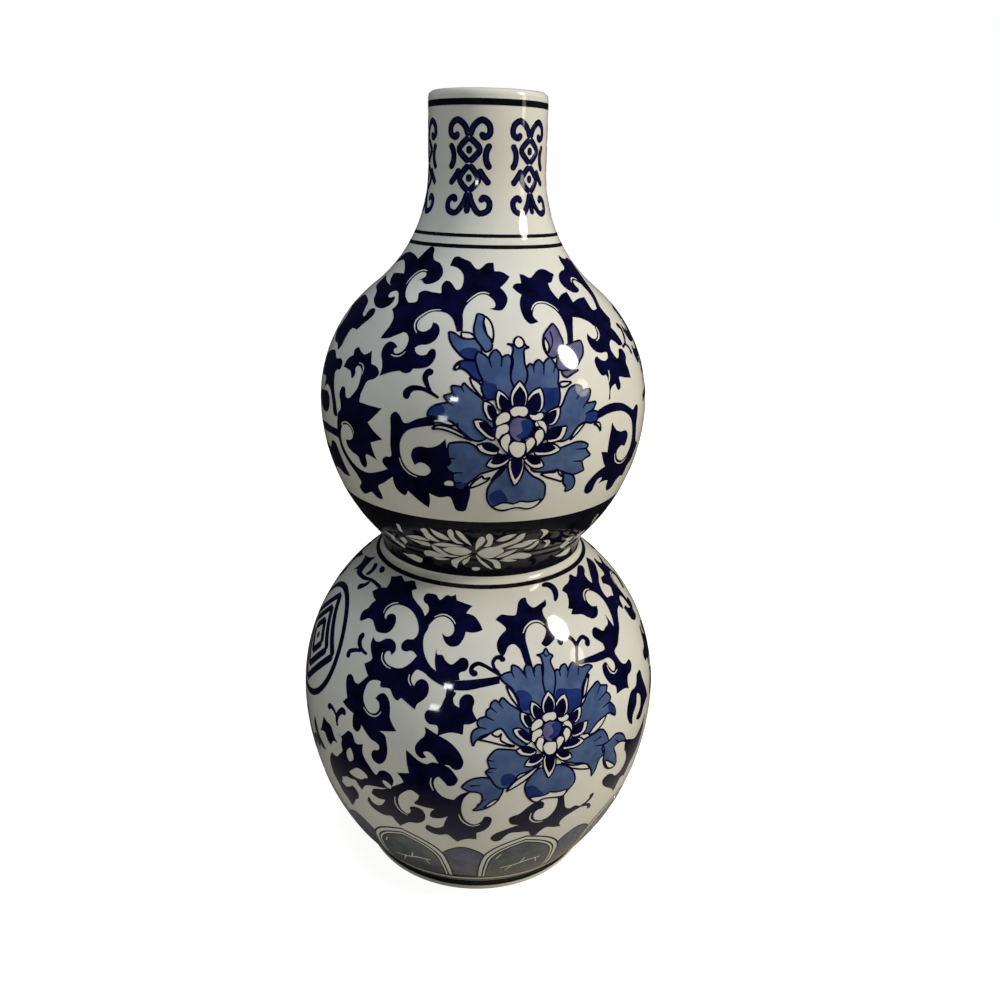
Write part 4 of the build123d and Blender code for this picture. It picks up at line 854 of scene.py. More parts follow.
# Each petal is a wash inside its drawn line, with a deeper patch and veins that run in from notches of its
# edge. Its level counts from the back to the front, and a third number marks a sharp point.
flowerPetals = dict(
    upper=[
        petal("upperFlower", 0, "petals", [(215, 285, 1), (222, 350), (250, 415), (300, 475), (345, 520),
            (420, 540), (490, 520), (510, 450), (500, 405), (470, 360), (440, 350), (390, 353), (340, 348),
            (300, 325), (265, 300)], deep=[(345, 440), (420, 430), (480, 450), (490, 515), (420, 535),
            (350, 518), (305, 475)]),
        petal("upperFlower", 1, "lights", [(325, 292, 1), (380, 296), (432, 312), (450, 340), (395, 354),
            (330, 338, 1)]),
        petal("upperFlower", 1, "petals", [(470, 125, 1), (455, 190), (440, 260), (445, 320), (470, 375),
            (500, 405), (550, 470), (600, 440), (605, 395, 1), (590, 350), (560, 320), (545, 285),
            (540, 250), (525, 215), (540, 150)], veins=[[(470, 370), (500, 405)]]),
        petal("upperFlower", 2, "lights", [(540, 148, 1), (580, 185), (605, 240), (617, 300), (605, 392, 1),
            (590, 350), (560, 320), (545, 285), (540, 250), (528, 205)]),
        petal("upperFlower", 1, "violets", [(1145, 210, 1), (1105, 260), (1070, 310), (1060, 370),
            (1070, 440), (1105, 500), (1155, 530), (1205, 470), (1240, 380), (1215, 320), (1180, 250)],
            veins=[[(1120, 280), (1145, 380), (1107, 485)]]),
        petal("upperFlower", 2, "lights", [(1073, 335, 1), (1067, 380), (1080, 440), (1100, 490, 1),
            (1115, 420), (1095, 370)]),
        petal("upperFlower", 0, "violets", [(1335, 380, 1), (1395, 362, 1), (1417, 420), (1417, 490),
            (1390, 545), (1355, 610), (1295, 630), (1185, 620), (1195, 510), (1285, 400)]),
        petal("upperFlower", 0, "violets", [(1220, 655), (1255, 635), (1315, 630), (1380, 628, 1),
            (1340, 655), (1295, 685), (1245, 700)]),
        petal("upperFlower", 1, "shades", [(258, 632, 1), (275, 585), (325, 550), (390, 545), (455, 555),
            (500, 640), (525, 735), (470, 720), (420, 690), (385, 650), (340, 620), (310, 615)]),
        petal("upperFlower", 2, "lights", [(262, 628, 1), (280, 590), (315, 570), (318, 605)]),
        petal("upperFlower", 0, "lights", [(405, 690, 1), (450, 720), (500, 760), (520, 800), (520, 895, 1),
            (480, 840), (440, 790), (415, 745)]),
        petal("upperFlower", 1, "petals", [(525, 900), (440, 830), (385, 780), (350, 742, 1), (328, 785, 1),
            (290, 775), (235, 772, 1), (248, 838, 1), (165, 862, 1), (190, 895), (215, 922, 1), (130, 935),
            (75, 952, 1), (35, 992), (20, 1045, 1), (110, 1055), (190, 1072), (262, 1108), (300, 1155),
            (380, 1220), (450, 1270), (540, 1250), (620, 1130), (600, 1030)], deep=[(75, 962), (140, 942),
            (180, 980), (150, 1040), (30, 1038), (42, 995)], veins=[[(328, 785), (352, 830)], [(248, 838),
            (290, 875)], [(215, 922), (262, 955)], [(290, 1102), (310, 1170), (370, 1230)]]),
        petal("upperFlower", 2, "lights", [(70, 1075, 1), (130, 1070), (200, 1080), (260, 1115),
            (270, 1130, 1), (200, 1125), (120, 1100), (75, 1095)]),
        petal("upperFlower", 3, "lights", [(60, 1158, 1), (110, 1128), (190, 1135), (280, 1170),
            (360, 1220), (425, 1265, 1), (330, 1230), (230, 1185), (140, 1160)]),
        petal("upperFlower", 1, "petals", [(1225, 955), (1265, 860), (1300, 792), (1355, 762, 1),
            (1407, 782), (1393, 830, 1), (1435, 805), (1485, 800, 1), (1480, 865), (1445, 925, 1),
            (1490, 920), (1535, 910, 1), (1520, 970), (1465, 1008, 1), (1515, 992), (1555, 1015, 1),
            (1545, 1085, 1), (1490, 1105), (1435, 1098), (1385, 1125), (1340, 1180), (1285, 1250),
            (1195, 1270), (1085, 1200), (1115, 1030)], deep=[(1455, 1020), (1515, 1005), (1547, 1030),
            (1537, 1078), (1485, 1098), (1440, 1088)], veins=[[(1393, 830), (1357, 898)], [(1445, 925),
            (1420, 970)], [(1465, 1008), (1435, 1030)]]),
        petal("upperFlower", 2, "lights", [(1300, 1260, 1), (1335, 1195), (1385, 1130), (1440, 1102, 1),
            (1405, 1150), (1355, 1210)]),
        petal("upperFlower", 2, "lights", [(1515, 1115, 1), (1567, 1102), (1575, 1180, 1), (1555, 1135)]),
        petal("upperFoot", 0, "petals", [(205, 1021, 1), (250, 1014), (300, 1011), (370, 1026), (400, 1046),
            (430, 1081), (500, 1104), (600, 1104), (615, 1165), (590, 1181), (520, 1211), (470, 1226),
            (430, 1238), (390, 1271), (350, 1301), (310, 1351, 1), (255, 1336), (245, 1301, 1), (235, 1271),
            (240, 1231, 1), (190, 1196), (185, 1181, 1), (220, 1151), (205, 1126, 1), (198, 1066)],
            deep=[(250, 1300), (300, 1305), (345, 1300), (310, 1348), (258, 1334)], veins=[[(240, 1231),
            (310, 1229)], [(245, 1301), (300, 1298)], [(205, 1126), (255, 1130)]]),
        petal("upperFoot", 0, "petals", [(870, 1115), (920, 1095), (970, 1065), (1010, 1048), (1060, 1030),
            (1110, 1010), (1165, 1011), (1195, 1036), (1180, 1056, 1), (1195, 1080), (1213, 1104, 1),
            (1180, 1121), (1150, 1146, 1), (1155, 1170), (1165, 1211, 1), (1130, 1226), (1090, 1246),
            (1040, 1230), (1010, 1220), (975, 1206, 1), (930, 1218), (850, 1224), (790, 1208), (800, 1150)],
            veins=[[(1180, 1056), (1110, 1062)], [(1150, 1146), (1085, 1147)]]),
        petal("upperFoot", 1, "petals", [(1005, 1225, 1), (1040, 1232), (1085, 1245), (1100, 1290),
            (1085, 1335), (1028, 1362, 1), (1038, 1325), (1015, 1292), (1022, 1258)]),
        petal("upperFoot", 2, "petals", [(620, 1180), (570, 1240), (520, 1285), (490, 1326), (475, 1386),
            (480, 1426), (510, 1471), (560, 1496), (610, 1496), (650, 1481), (700, 1476), (760, 1486),
            (810, 1471), (850, 1441), (880, 1406), (890, 1356), (885, 1306), (850, 1276), (800, 1251),
            (760, 1210), (690, 1120)], deep=[(492, 1395), (520, 1365), (560, 1350), (610, 1390),
            (620, 1430), (570, 1440), (530, 1452), (500, 1430)]),
        petal("upperFoot", 1, "lights", [(350, 1340, 1), (380, 1296), (405, 1278), (445, 1250, 1),
            (450, 1268), (500, 1262, 1), (480, 1284), (430, 1312)]),
        petal("upperFoot", 3, "lights", [(612, 1178, 1), (575, 1215), (540, 1255), (505, 1290, 1),
            (545, 1235), (585, 1195)]),
        petal("upperFoot", 1, "lights", [(855, 1238, 1), (910, 1228), (965, 1220), (975, 1200, 1),
            (990, 1240), (1020, 1258, 1), (1000, 1275), (1010, 1292, 1), (940, 1272), (880, 1252)]),
        petal("upperFoot", 3, "lights", [(510, 1468, 1), (540, 1460), (575, 1445), (610, 1440), (650, 1448),
            (675, 1448, 1), (710, 1432), (760, 1435), (810, 1430), (862, 1412, 1), (835, 1452), (790, 1478),
            (750, 1484), (700, 1476), (650, 1481), (600, 1495), (550, 1490)]),
        petal("upperFlower", 3, "petals", [(455, 545), (458, 500), (475, 465, 1), (515, 482), (555, 512),
            (578, 540, 1), (582, 505), (608, 468), (635, 445, 1), (668, 475), (692, 520, 1), (710, 500),
            (738, 492, 1), (768, 512), (778, 545), (772, 610), (770, 680), (790, 760), (800, 860),
            (640, 890), (540, 890), (520, 830), (505, 770), (522, 722), (490, 670), (470, 600)],
            deep=[(525, 725), (580, 745), (640, 765), (650, 830), (640, 890), (540, 890), (520, 830),
            (507, 770)], veins=[[(578, 540), (600, 612)], [(692, 520), (686, 605)]]),
        petal("upperFlower", 3, "petals", [(905, 630), (920, 600), (945, 575), (975, 602, 1), (990, 560),
            (1020, 535, 1), (1050, 560), (1066, 578, 1), (1085, 545), (1120, 518, 1), (1150, 550),
            (1170, 592, 1), (1187, 610), (1200, 680), (1195, 750), (1205, 790), (1213, 870), (1190, 960),
            (1075, 1020), (955, 960), (905, 830)], deep=[(1060, 798), (1135, 792), (1200, 792), (1213, 870),
            (1190, 960), (1085, 1000), (1055, 880)], veins=[[(975, 602), (981, 660)], [(1066, 578),
            (1067, 680)], [(1170, 592), (1151, 660)]]),
        petal("upperFlower", 4, "petals", [(735, 398, 1), (778, 412), (795, 450), (783, 490), (792, 560),
            (776, 640), (768, 690), (785, 745), (830, 830), (885, 780), (917, 710), (920, 650), (900, 590),
            (890, 510), (895, 445), (940, 429, 1), (895, 405), (873, 350), (845, 440), (800, 408)]),
        petal("upperFlower", 5, "lights", [(835, 330, 1), (800, 370), (802, 408), (845, 440), (885, 418),
            (892, 385), (870, 350)]),
        # This white edge is put where the glaze shows a lamp's reflection, so it is in part a painted
        # reflection.
        petal("upperFlower", 4, "lights", [(1210, 742, 1), (1255, 734), (1317, 740, 1), (1275, 768),
            (1223, 788)]),
    ],
    lower=[
        petal("lowerFlower", 0, "petals", [(1150, 830), (1200, 790), (1250, 740), (1300, 740),
            (1320, 790, 1), (1270, 800), (1240, 830), (1250, 890), (1245, 960), (1200, 985), (1160, 930),
            (1165, 880)], veins=[[(1270, 800), (1245, 775)]]),
        petal("lowerFlower", 1, "lights", [(1172, 925), (1200, 983), (1245, 962, 1), (1215, 940)]),
        petal("lowerFlower", 0, "petals", [(360, 1055), (300, 1050), (220, 1065), (150, 1118, 1),
            (210, 1150), (285, 1160), (300, 1190), (232, 1285, 1), (310, 1275), (390, 1230), (430, 1180),
            (450, 1130), (420, 1100)], veins=[[(210, 1110), (290, 1105)], [(260, 1250), (330, 1200)]]),
        petal("lowerFlower", 1, "lights", [(310, 1268, 1), (380, 1240), (420, 1200, 1), (380, 1212),
            (340, 1238)]),
        petal("lowerFlower", 1, "petals", [(440, 485), (500, 530), (575, 580), (640, 700), (600, 830),
            (545, 815), (490, 770), (430, 700), (360, 735), (290, 760), (255, 790), (237, 828, 1),
            (222, 775), (235, 720), (285, 692, 1), (258, 665), (280, 632), (330, 618, 1), (335, 570),
            (360, 552, 1), (368, 505), (395, 500), (420, 520, 1)], veins=[[(285, 692), (335, 705)],
            [(330, 618), (385, 645)], [(360, 552), (405, 590)], [(420, 520), (450, 560)]]),
        petal("lowerFlower", 2, "lights", [(270, 780, 1), (330, 755), (362, 728, 1), (400, 765),
            (440, 735, 1), (430, 780), (480, 812), (545, 830), (450, 820), (350, 795)]),
        petal("lowerFlower", 1, "petals", [(400, 852), (470, 850), (550, 858), (640, 900), (700, 930),
            (640, 1000), (560, 1030), (520, 1085), (450, 1130), (400, 1110), (360, 1060), (320, 1010, 1),
            (355, 985, 1), (335, 925, 1), (358, 890)], deep=[(440, 1040), (500, 1020), (540, 1050),
            (500, 1095), (450, 1110)], veins=[[(355, 985), (405, 985)], [(335, 925), (390, 935)],
            [(320, 1010), (375, 1012)]]),
        petal("lowerFlower", 1, "petals", [(1020, 520), (1050, 450), (1090, 395), (1120, 365),
            (1140, 392, 1), (1190, 390, 1), (1180, 440, 1), (1212, 465), (1205, 510, 1), (1245, 560),
            (1245, 610, 1), (1200, 590), (1160, 620), (1060, 730), (960, 720), (960, 600)],
            deep=[(1200, 520), (1240, 570), (1240, 605), (1200, 580)], veins=[[(1140, 392), (1118, 450)],
            [(1180, 440), (1128, 500)], [(1205, 510), (1150, 555)]]),
        petal("lowerFlower", 2, "lights", [(1185, 600, 1), (1120, 655), (1055, 745, 1), (1085, 735),
            (1145, 680)]),
        petal("lowerFlower", 0, "petals", [(1040, 770), (1100, 735), (1150, 705), (1185, 740),
            (1200, 790, 1), (1160, 815, 1), (1165, 880), (1125, 930), (1110, 980), (1075, 1040, 1),
            (1070, 985), (1030, 950), (940, 945), (870, 920), (900, 860), (960, 820)], veins=[[(1160, 815),
            (1105, 825)], [(1150, 755), (1090, 795)]]),
        petal("lowerFlower", 1, "lights", [(860, 945, 1), (940, 962), (1050, 958), (1062, 985, 1),
            (960, 985), (900, 970)]),
        petal("lowerFlower", 2, "lights", [(470, 1150, 1), (530, 1080), (620, 1020), (720, 950, 1),
            (640, 1040), (560, 1100)]),
        petal("lowerFlower", 2, "petals", [(720, 980), (785, 1000), (830, 960), (880, 960), (950, 1010),
            (955, 1080), (915, 1130), (870, 1180), (790, 1190), (730, 1200), (690, 1225), (640, 1205),
            (610, 1160), (605, 1110), (630, 1060)], deep=[(615, 1115), (660, 1105), (700, 1130),
            (735, 1165), (680, 1180), (640, 1195), (612, 1160)]),
        petal("lowerFlower", 3, "lights", [(640, 1190, 1), (700, 1180), (760, 1165), (780, 1150, 1),
            (830, 1150), (905, 1128, 1), (880, 1170), (800, 1190), (730, 1200), (690, 1222), (650, 1210)]),
        petal("lowerFlower", 3, "petals", [(575, 575), (555, 495), (530, 440, 1), (490, 395), (450, 370),
            (425, 335, 1), (455, 312), (510, 298, 1), (510, 250, 1), (545, 255), (580, 290), (605, 320, 1),
            (605, 262), (630, 240), (655, 265), (668, 310, 1), (680, 255), (712, 245), (728, 320),
            (745, 400), (750, 500), (640, 600)], deep=[(545, 435), (600, 430), (650, 470), (640, 560),
            (590, 575), (560, 500)], veins=[[(605, 320), (615, 345)], [(668, 310), (672, 335)], [(510, 298),
            (530, 345)]]),
        petal("lowerFlower", 2, "lights", [(470, 395, 1), (510, 430), (545, 490), (570, 560, 1), (535, 520),
            (500, 470)]),
        petal("lowerFlower", 3, "petals", [(812, 310), (830, 280), (850, 295, 1), (862, 255), (882, 238),
            (905, 275), (910, 300, 1), (925, 250), (950, 228), (975, 255), (1010, 262), (1050, 245),
            (1085, 258, 1), (1050, 300), (1030, 345, 1), (1010, 400), (1008, 480), (990, 570), (920, 600),
            (820, 500)], deep=[(830, 425), (920, 420), (1000, 425), (1008, 480), (990, 570), (920, 600),
            (820, 500)], veins=[[(850, 295), (856, 335)], [(910, 300), (905, 340)], [(985, 262),
            (980, 325)]]),
        petal("lowerFlower", 2, "lights", [(1060, 310, 1), (1035, 360), (1015, 490, 1), (1032, 460),
            (1050, 380)]),
        petal("lowerFlower", 4, "petals", [(725, 215), (735, 280), (730, 350), (745, 430), (785, 500),
            (815, 420), (815, 300), (785, 215), (805, 180, 1), (772, 165), (750, 130), (730, 165),
            (685, 178, 1), (715, 190)], veins=[[(735, 168), (755, 188), (778, 168)]]),
    ])

# The heart of a flower, drawn where it stands on the upper bulb and carried to the lower one: dark pointed
# petals with a white line inside their edge, and white beads round the middle
heart = dict(
    middle=(12, 260),
    points=[
        (2, picked("upperFlower", [(850, 725, 1), (805, 780), (772, 845), (770, 920), (800, 990),
            (885, 980), (917, 910), (917, 830), (880, 760)])),
        (1, picked("upperFlower", [(1040, 788, 1), (980, 810), (930, 865), (895, 935), (915, 990),
            (985, 1020), (1045, 995), (1067, 930), (1063, 850)])),
        (1, picked("upperFlower", [(655, 808, 1), (705, 835), (750, 890), (765, 955), (740, 990),
            (680, 1000), (640, 930), (638, 860)])),
        (0, picked("upperFlower", [(1210, 958, 1), (1155, 975), (1105, 1005), (1075, 1040), (1085, 1080),
            (1115, 1130), (1165, 1115), (1200, 1060), (1213, 1005)])),
        (0, picked("upperFlower", [(528, 908, 1), (580, 925), (620, 970), (640, 1020), (640, 1080),
            (590, 1090), (550, 1040), (525, 980)])),
        (1, picked("upperFlower", [(1275, 1130, 1), (1215, 1140), (1155, 1150), (1105, 1180), (1085, 1230),
            (1085, 1270), (1155, 1275), (1225, 1250), (1260, 1190)])),
        (1, picked("upperFlower", [(435, 1082, 1), (490, 1075), (550, 1100), (600, 1160), (630, 1210),
            (620, 1260), (560, 1240), (500, 1190), (455, 1140)])),
        (0, picked("upperFlower", [(1217, 1342, 1), (1175, 1300), (1115, 1288), (1045, 1300), (985, 1350),
            (965, 1380), (1035, 1395), (1115, 1392), (1175, 1372)])),
        (0, picked("upperFlower", [(462, 1308, 1), (520, 1290), (590, 1290), (640, 1320), (680, 1360),
            (620, 1395), (560, 1385), (500, 1362)])),
        (1, picked("upperFlower", [(1067, 1492, 1), (1045, 1440), (995, 1410), (935, 1395), (885, 1410),
            (915, 1470), (965, 1508), (1015, 1512)])),
        (1, picked("upperFlower", [(548, 1490, 1), (590, 1430), (650, 1402), (720, 1395), (770, 1420),
            (720, 1475), (660, 1505), (600, 1510)])),
        (2, picked("upperFoot", [(668, 1320, 1), (645, 1270), (630, 1216), (628, 1166), (640, 1126),
            (690, 1122), (728, 1116), (738, 1160), (735, 1210), (718, 1258), (692, 1300)])),
    ],
    ring=picked("upperFoot", [(528, 900), (545, 820), (600, 785), (645, 755), (700, 742), (770, 760),
        (830, 790), (890, 830), (912, 900), (905, 960), (870, 1020), (820, 1070), (750, 1110), (690, 1140),
        (620, 1100), (565, 1030)]),
    beads=[
        picked("upperFlower", [(765, 992), (800, 962), (860, 955), (905, 960), (927, 995), (910, 1040),
            (865, 1050), (850, 1040), (800, 1052), (775, 1035)]),
        picked("upperFlower", [(648, 1055), (690, 1015), (740, 1008), (768, 1040), (760, 1080), (700, 1110),
            (640, 1128), (632, 1092)]),
        picked("upperFlower", [(638, 1180), (645, 1145), (690, 1120), (740, 1115), (758, 1150), (740, 1192),
            (690, 1212), (660, 1252), (632, 1230)]),
        picked("upperFlower", [(680, 1252), (710, 1212), (750, 1200), (772, 1240), (755, 1290),
            (750, 1375, 1), (715, 1350), (685, 1310)]),
        picked("upperFlower", [(756, 1315), (790, 1272), (850, 1275), (893, 1284), (901, 1345), (885, 1390),
            (850, 1414), (810, 1412), (770, 1375)]),
        picked("upperFlower", [(905, 1260), (955, 1230), (987, 1240), (987, 1290), (945, 1342),
            (910, 1385, 1), (910, 1320)]),
        picked("upperFlower", [(995, 1182), (1035, 1150), (1063, 1180), (1063, 1240), (1025, 1292),
            (995, 1322, 1), (1000, 1270), (980, 1220)]),
        picked("upperFlower", [(990, 1100), (1035, 1075), (1075, 1100), (1093, 1150), (1080, 1215, 1),
            (1067, 1170), (1035, 1132), (990, 1130)]),
        picked("upperFlower", [(937, 1030), (985, 1032), (1045, 1010), (1067, 1040), (1045, 1072),
            (995, 1085), (955, 1072)]),
    ],
    middlePatch=picked("upperFlower", [(760, 1130), (780, 1080), (830, 1055), (885, 1060), (945, 1075),
        (970, 1130), (955, 1180), (915, 1230), (855, 1260), (860, 1270), (800, 1252), (762, 1200)]),
    middleShade=[(11.4, 262.6), (14.4, 263), (15.3, 260.9), (14.8, 258.8), (13.4, 256.9), (11.4, 255.9),
                 (10, 257), (11.8, 258.8)])
heartPlaces = dict(upper=dict(middle=heart["middle"], size=1.0), lower=dict(middle=(22, 111.7), size=0.94))
# Widths of the drawn lines in millimetres, the share of a dark point that is filled, how far its root is
# drawn to the middle, and the spacing of spots inside a shape
drawn = dict(line=0.85, veinEnd=0.35, pointLine=0.75, pointFill=0.77, rootShare=0.3, beadLine=0.42,
             spacing=1.2)


def carried(points, place):
    # Chart points of the upper heart at another place: scaled about the middle, and across by the radius.
    across = place["size"] * float(wallAt(heart["middle"][1])[0] / wallAt(place["middle"][1])[0])
    (fromX, fromY), (toX, toY) = heart["middle"], place["middle"]
    return [(toX + (x - fromX) * across, toY + (y - fromY) * place["size"], *rest)
            for x, y, *rest in points]


def fillFine(pot, points, layer):
    fillShape(pot, points, layer, spacing=drawn["spacing"])


def drawPetals(name, petals):
    for level, pot, edge, deep, veins in petals:
        height = layers["wash"] + level * layers["step"]
        fillFine(name + "_" + pot, edge, height)
        if deep:
            fillFine(name + "_shades", deep, height + layers["shadeStep"])
        edgeShape(name + "_lines", edge, drawn["line"], height + layers["lineStep"])
        for vein in veins:
            widths = np.linspace(drawn["line"], drawn["veinEnd"], len(vein))
            stroke = brush([(*point, width) for point, width in zip(vein, widths)])
            lay(name + "_lines", stroke, height + layers["lineStep"])


def drawHeart(name, place):
    for level, edge in heart["points"]:
        edge = carried(edge, place)
        height = layers["points"] + level * layers["step"]
        root = np.mean([point[:2] for point in edge], axis=0)
        root = root + (np.array(place["middle"]) - root) * drawn["rootShare"]
        inner = [(*(root + (np.array((x, y)) - root) * drawn["pointFill"]), *rest) for x, y, *rest in edge]
        fillFine(name + "_lights", edge, height)
        fillFine(name + "_lines", inner, height + layers["shadeStep"])
        edgeShape(name + "_lines", edge, drawn["pointLine"], height + layers["lineStep"])
    fillFine(name + "_lines", carried(heart["ring"], place), "ring")
    for bead in heart["beads"]:
        fillFine(name + "_lights", carried(bead, place), "bead")
        edgeShape(name + "_lines", carried(bead, place), drawn["beadLine"], "beadLine")
    middle = carried(heart["middlePatch"], place)
    fillFine(name + "_violets", middle, "bead")
    fillFine(name + "_shades", carried(heart["middleShade"], place), "beadShade")
    edgeShape(name + "_lines", middle, drawn["beadLine"], "beadLine")


flowerWashes = dict(petals=cobaltWash, shades=deepWash, violets=violetWash, lines=heavyCobalt)
for name, place in heartPlaces.items():
    drawPetals(name + "_flower", flowerPetals[name])
    drawHeart(name + "_flower", place)
    for kind, wash in flowerWashes.items():
        emptyPot(name + "_flower_" + kind, wash, "cobalt")
    emptyPot(name + "_flower_lights", whiteGlaze, "white_glaze")
print("flowers drawn")

# Spray of slender petals left white in the band round the waist
spray = dict(turns=(0, 90, 180, 270), spacing=1.5, petals=[
    [(343, 195, 1), (380, 192), (405, 225), (440, 255), (478, 280, 1), (430, 275), (390, 258), (365, 225)],
    [(410, 190, 1), (450, 210), (495, 230), (550, 270, 1), (500, 265), (450, 240)],
    [(530, 205), (550, 195), (568, 215), (574, 250), (600, 275), (640, 297, 1), (590, 290), (550, 262),
        (533, 235)],
    [(583, 203, 1), (615, 215), (650, 250), (675, 280), (695, 310, 1), (650, 285), (615, 255), (590, 225)],
    [(245, 243, 1), (300, 238), (345, 245), (380, 260), (410, 274, 1), (360, 270), (310, 260)],
    [(265, 256, 1), (310, 268), (355, 277), (405, 290), (415, 312, 1), (370, 305), (320, 285)],
    [(430, 300, 1), (470, 289), (520, 290), (570, 300), (640, 312, 1), (560, 314), (490, 312)],
    [(495, 330, 1), (540, 318), (600, 317), (650, 325), (695, 350, 1), (640, 372), (580, 368), (530, 352)],
    [(418, 298, 1), (450, 315), (495, 342), (540, 370), (610, 378, 1), (550, 386), (490, 365), (440, 335)],
    [(370, 358), (390, 340), (430, 345), (480, 365), (535, 380, 1), (480, 386), (420, 380), (380, 372)],
    [(432, 386, 1), (480, 389), (550, 400, 1), (500, 405), (450, 398)],
    [(555, 410), (590, 395), (640, 382), (690, 366, 1), (640, 398), (605, 422), (595, 462, 1), (572, 450),
        (558, 430)],
    [(630, 418), (660, 396), (685, 384, 1), (665, 420), (640, 440, 1)],
    [(742, 258), (768, 245), (785, 265), (768, 298), (738, 322), (720, 340, 1), (724, 295)],
    [(792, 240), (815, 225), (833, 240), (836, 280), (815, 312), (775, 314, 1), (802, 285)],
    [(858, 276, 1), (900, 250), (950, 235), (1000, 228, 1), (960, 258), (910, 278)],
    [(835, 320, 1), (900, 300), (940, 285), (985, 265), (1020, 235), (1058, 222, 1), (1040, 262),
        (1000, 288), (930, 312), (880, 324)],
    [(730, 358, 1), (790, 325), (840, 318), (900, 327), (912, 345), (870, 375), (820, 393), (765, 385)],
    [(858, 392, 1), (900, 365), (950, 345), (1005, 330, 1), (980, 350), (930, 376)],
    [(925, 332, 1), (985, 305), (1040, 287), (1110, 286, 1), (1080, 302), (1040, 317), (985, 322)],
    [(1040, 284, 1), (1090, 270), (1150, 265, 1), (1110, 281)],
    [(1050, 331, 1), (1090, 315), (1130, 282), (1152, 272, 1), (1135, 302), (1100, 327)],
    [(895, 402, 1), (950, 377), (1010, 356), (1060, 358), (1098, 376), (1060, 394), (1000, 396)],
    [(880, 408, 1), (940, 400), (1000, 409, 1), (940, 417)],
    [(722, 368, 1), (755, 402), (795, 435), (835, 472, 1), (790, 452), (745, 415)],
    [(765, 392, 1), (815, 400), (862, 406), (886, 432), (890, 464, 1), (855, 460), (838, 428)],
    [(695, 463), (750, 463), (748, 471), (698, 471)],
    [(180, 158, 1), (200, 165), (215, 195), (228, 220, 1), (205, 206), (190, 182)],
    [(205, 258, 1), (235, 255), (250, 270), (240, 296, 1), (225, 276)],
    [(1160, 198, 1), (1195, 198), (1216, 211), (1190, 240), (1155, 263, 1), (1180, 228)],
    [(1178, 275, 1), (1210, 268), (1226, 286), (1200, 312), (1180, 319, 1), (1200, 294)],
    [(1303, 302), (1325, 284), (1342, 300), (1320, 320)],
    [(1330, 264, 1), (1360, 250), (1388, 245, 1), (1360, 270)],
    [(1258, 382, 1), (1300, 360), (1340, 330), (1367, 321, 1), (1350, 352), (1300, 380)],
])
for shape in spray["petals"]:
    fillShape("waist_spray", picked("waist", shape), "deep", spray["turns"], spacing=spray["spacing"])
emptyPot("waist_spray", whiteGlaze, "white_glaze")


# Six ornaments round the neck: paired scrolls over and under two lozenges, in millimetres across from the
# middle line and up from the foot of the ornament
neckOrnament = dict(
    first=-17.0, count=6, foot=348.7, width=2.5, core=1.0,
    paired=[
        [(0.4, 30.4), (2.4, 34.6), (5.8, 36.4), (8.8, 34.6), (8.8, 31), (6.4, 30.2), (5.6, 32.2)],
        [(0, 30), (2.6, 28.2), (4.8, 25.6), (2.6, 23), (0, 21)],
        [(9.6, 27.8), (7.7, 24.8), (7.7, 21.4), (9.6, 18.4)],
        [(4.4, 18.6), (6.8, 15.4), (9.4, 12.6)],
        [(0, 20), (2.6, 17.6), (4.4, 14.8), (2.6, 12.2), (0, 10.2)],
        [(0.4, 9.8), (2.2, 5), (5.4, 1.6), (8.8, 3), (9, 6.6), (6.6, 7.8), (5.6, 5.8)]],
    middle=[[(0, 27), (0, 24)], [(0, 16.6), (0, 13.6)], [(0, 6.6), (0, 1.4)]])


def drawStrokes(pot, runs, place, width, layer, turns):
    # Strokes given in millimetres about a chart point, all of one width.
    perDegree = math.radians(1) * float(wallAt(place[1])[0])
    for run in runs:
        lay(pot, brush([(place[0] + x / perDegree, place[1] + y, width) for x, y in run]), layer, turns)


mirrored = [[(-x, y) for x, y in run] for run in neckOrnament["paired"]]
ornamentRuns = neckOrnament["paired"] + mirrored + neckOrnament["middle"]
ornamentTurns = [k * 360 / neckOrnament["count"] for k in range(neckOrnament["count"])]
neckPlace = (neckOrnament["first"], neckOrnament["foot"])
drawStrokes("neck_ornaments", ornamentRuns, neckPlace, neckOrnament["width"], "ink", ornamentTurns)
drawStrokes("neck_ornament_cores", ornamentRuns, neckPlace, neckOrnament["core"], "wash", ornamentTurns)
emptyPot("neck_ornaments", heavyCobalt, "cobalt")
emptyPot("neck_ornament_cores", inkWash, "cobalt")

# Round ornament on each side of the lower bulb: lozenges nested in a ring
medallion = dict(place=(-72.0, 127.0), radius=26.0, ring=3.0, ringTurns=1.03, ringPoints=42, width=3.5,
                 lozenges=(22.4, 15.4, 8.4), dot=1.6)
lozenges = []
for reach in medallion["lozenges"]:
    corners = [(reach, 0), (0, reach), (-reach, 0), (0, -reach)]
    lozenges += [[corners[k], corners[(k + 1) % 4]] for k in range(4)]
ringTurn = np.linspace(0, medallion["ringTurns"] * 2 * math.pi, medallion["ringPoints"])
aroundRing = [(medallion["radius"] * math.cos(a), medallion["radius"] * math.sin(a)) for a in ringTurn]
dot = [[(-medallion["dot"], 0), (medallion["dot"], 0)]]
drawStrokes("side_medallions", lozenges + dot, medallion["place"], medallion["width"], "ink", (0, 180))
drawStrokes("side_medallions", [aroundRing], medallion["place"], medallion["ring"], "ink", (0, 180))
emptyPot("side_medallions", heavyCobalt, "cobalt")

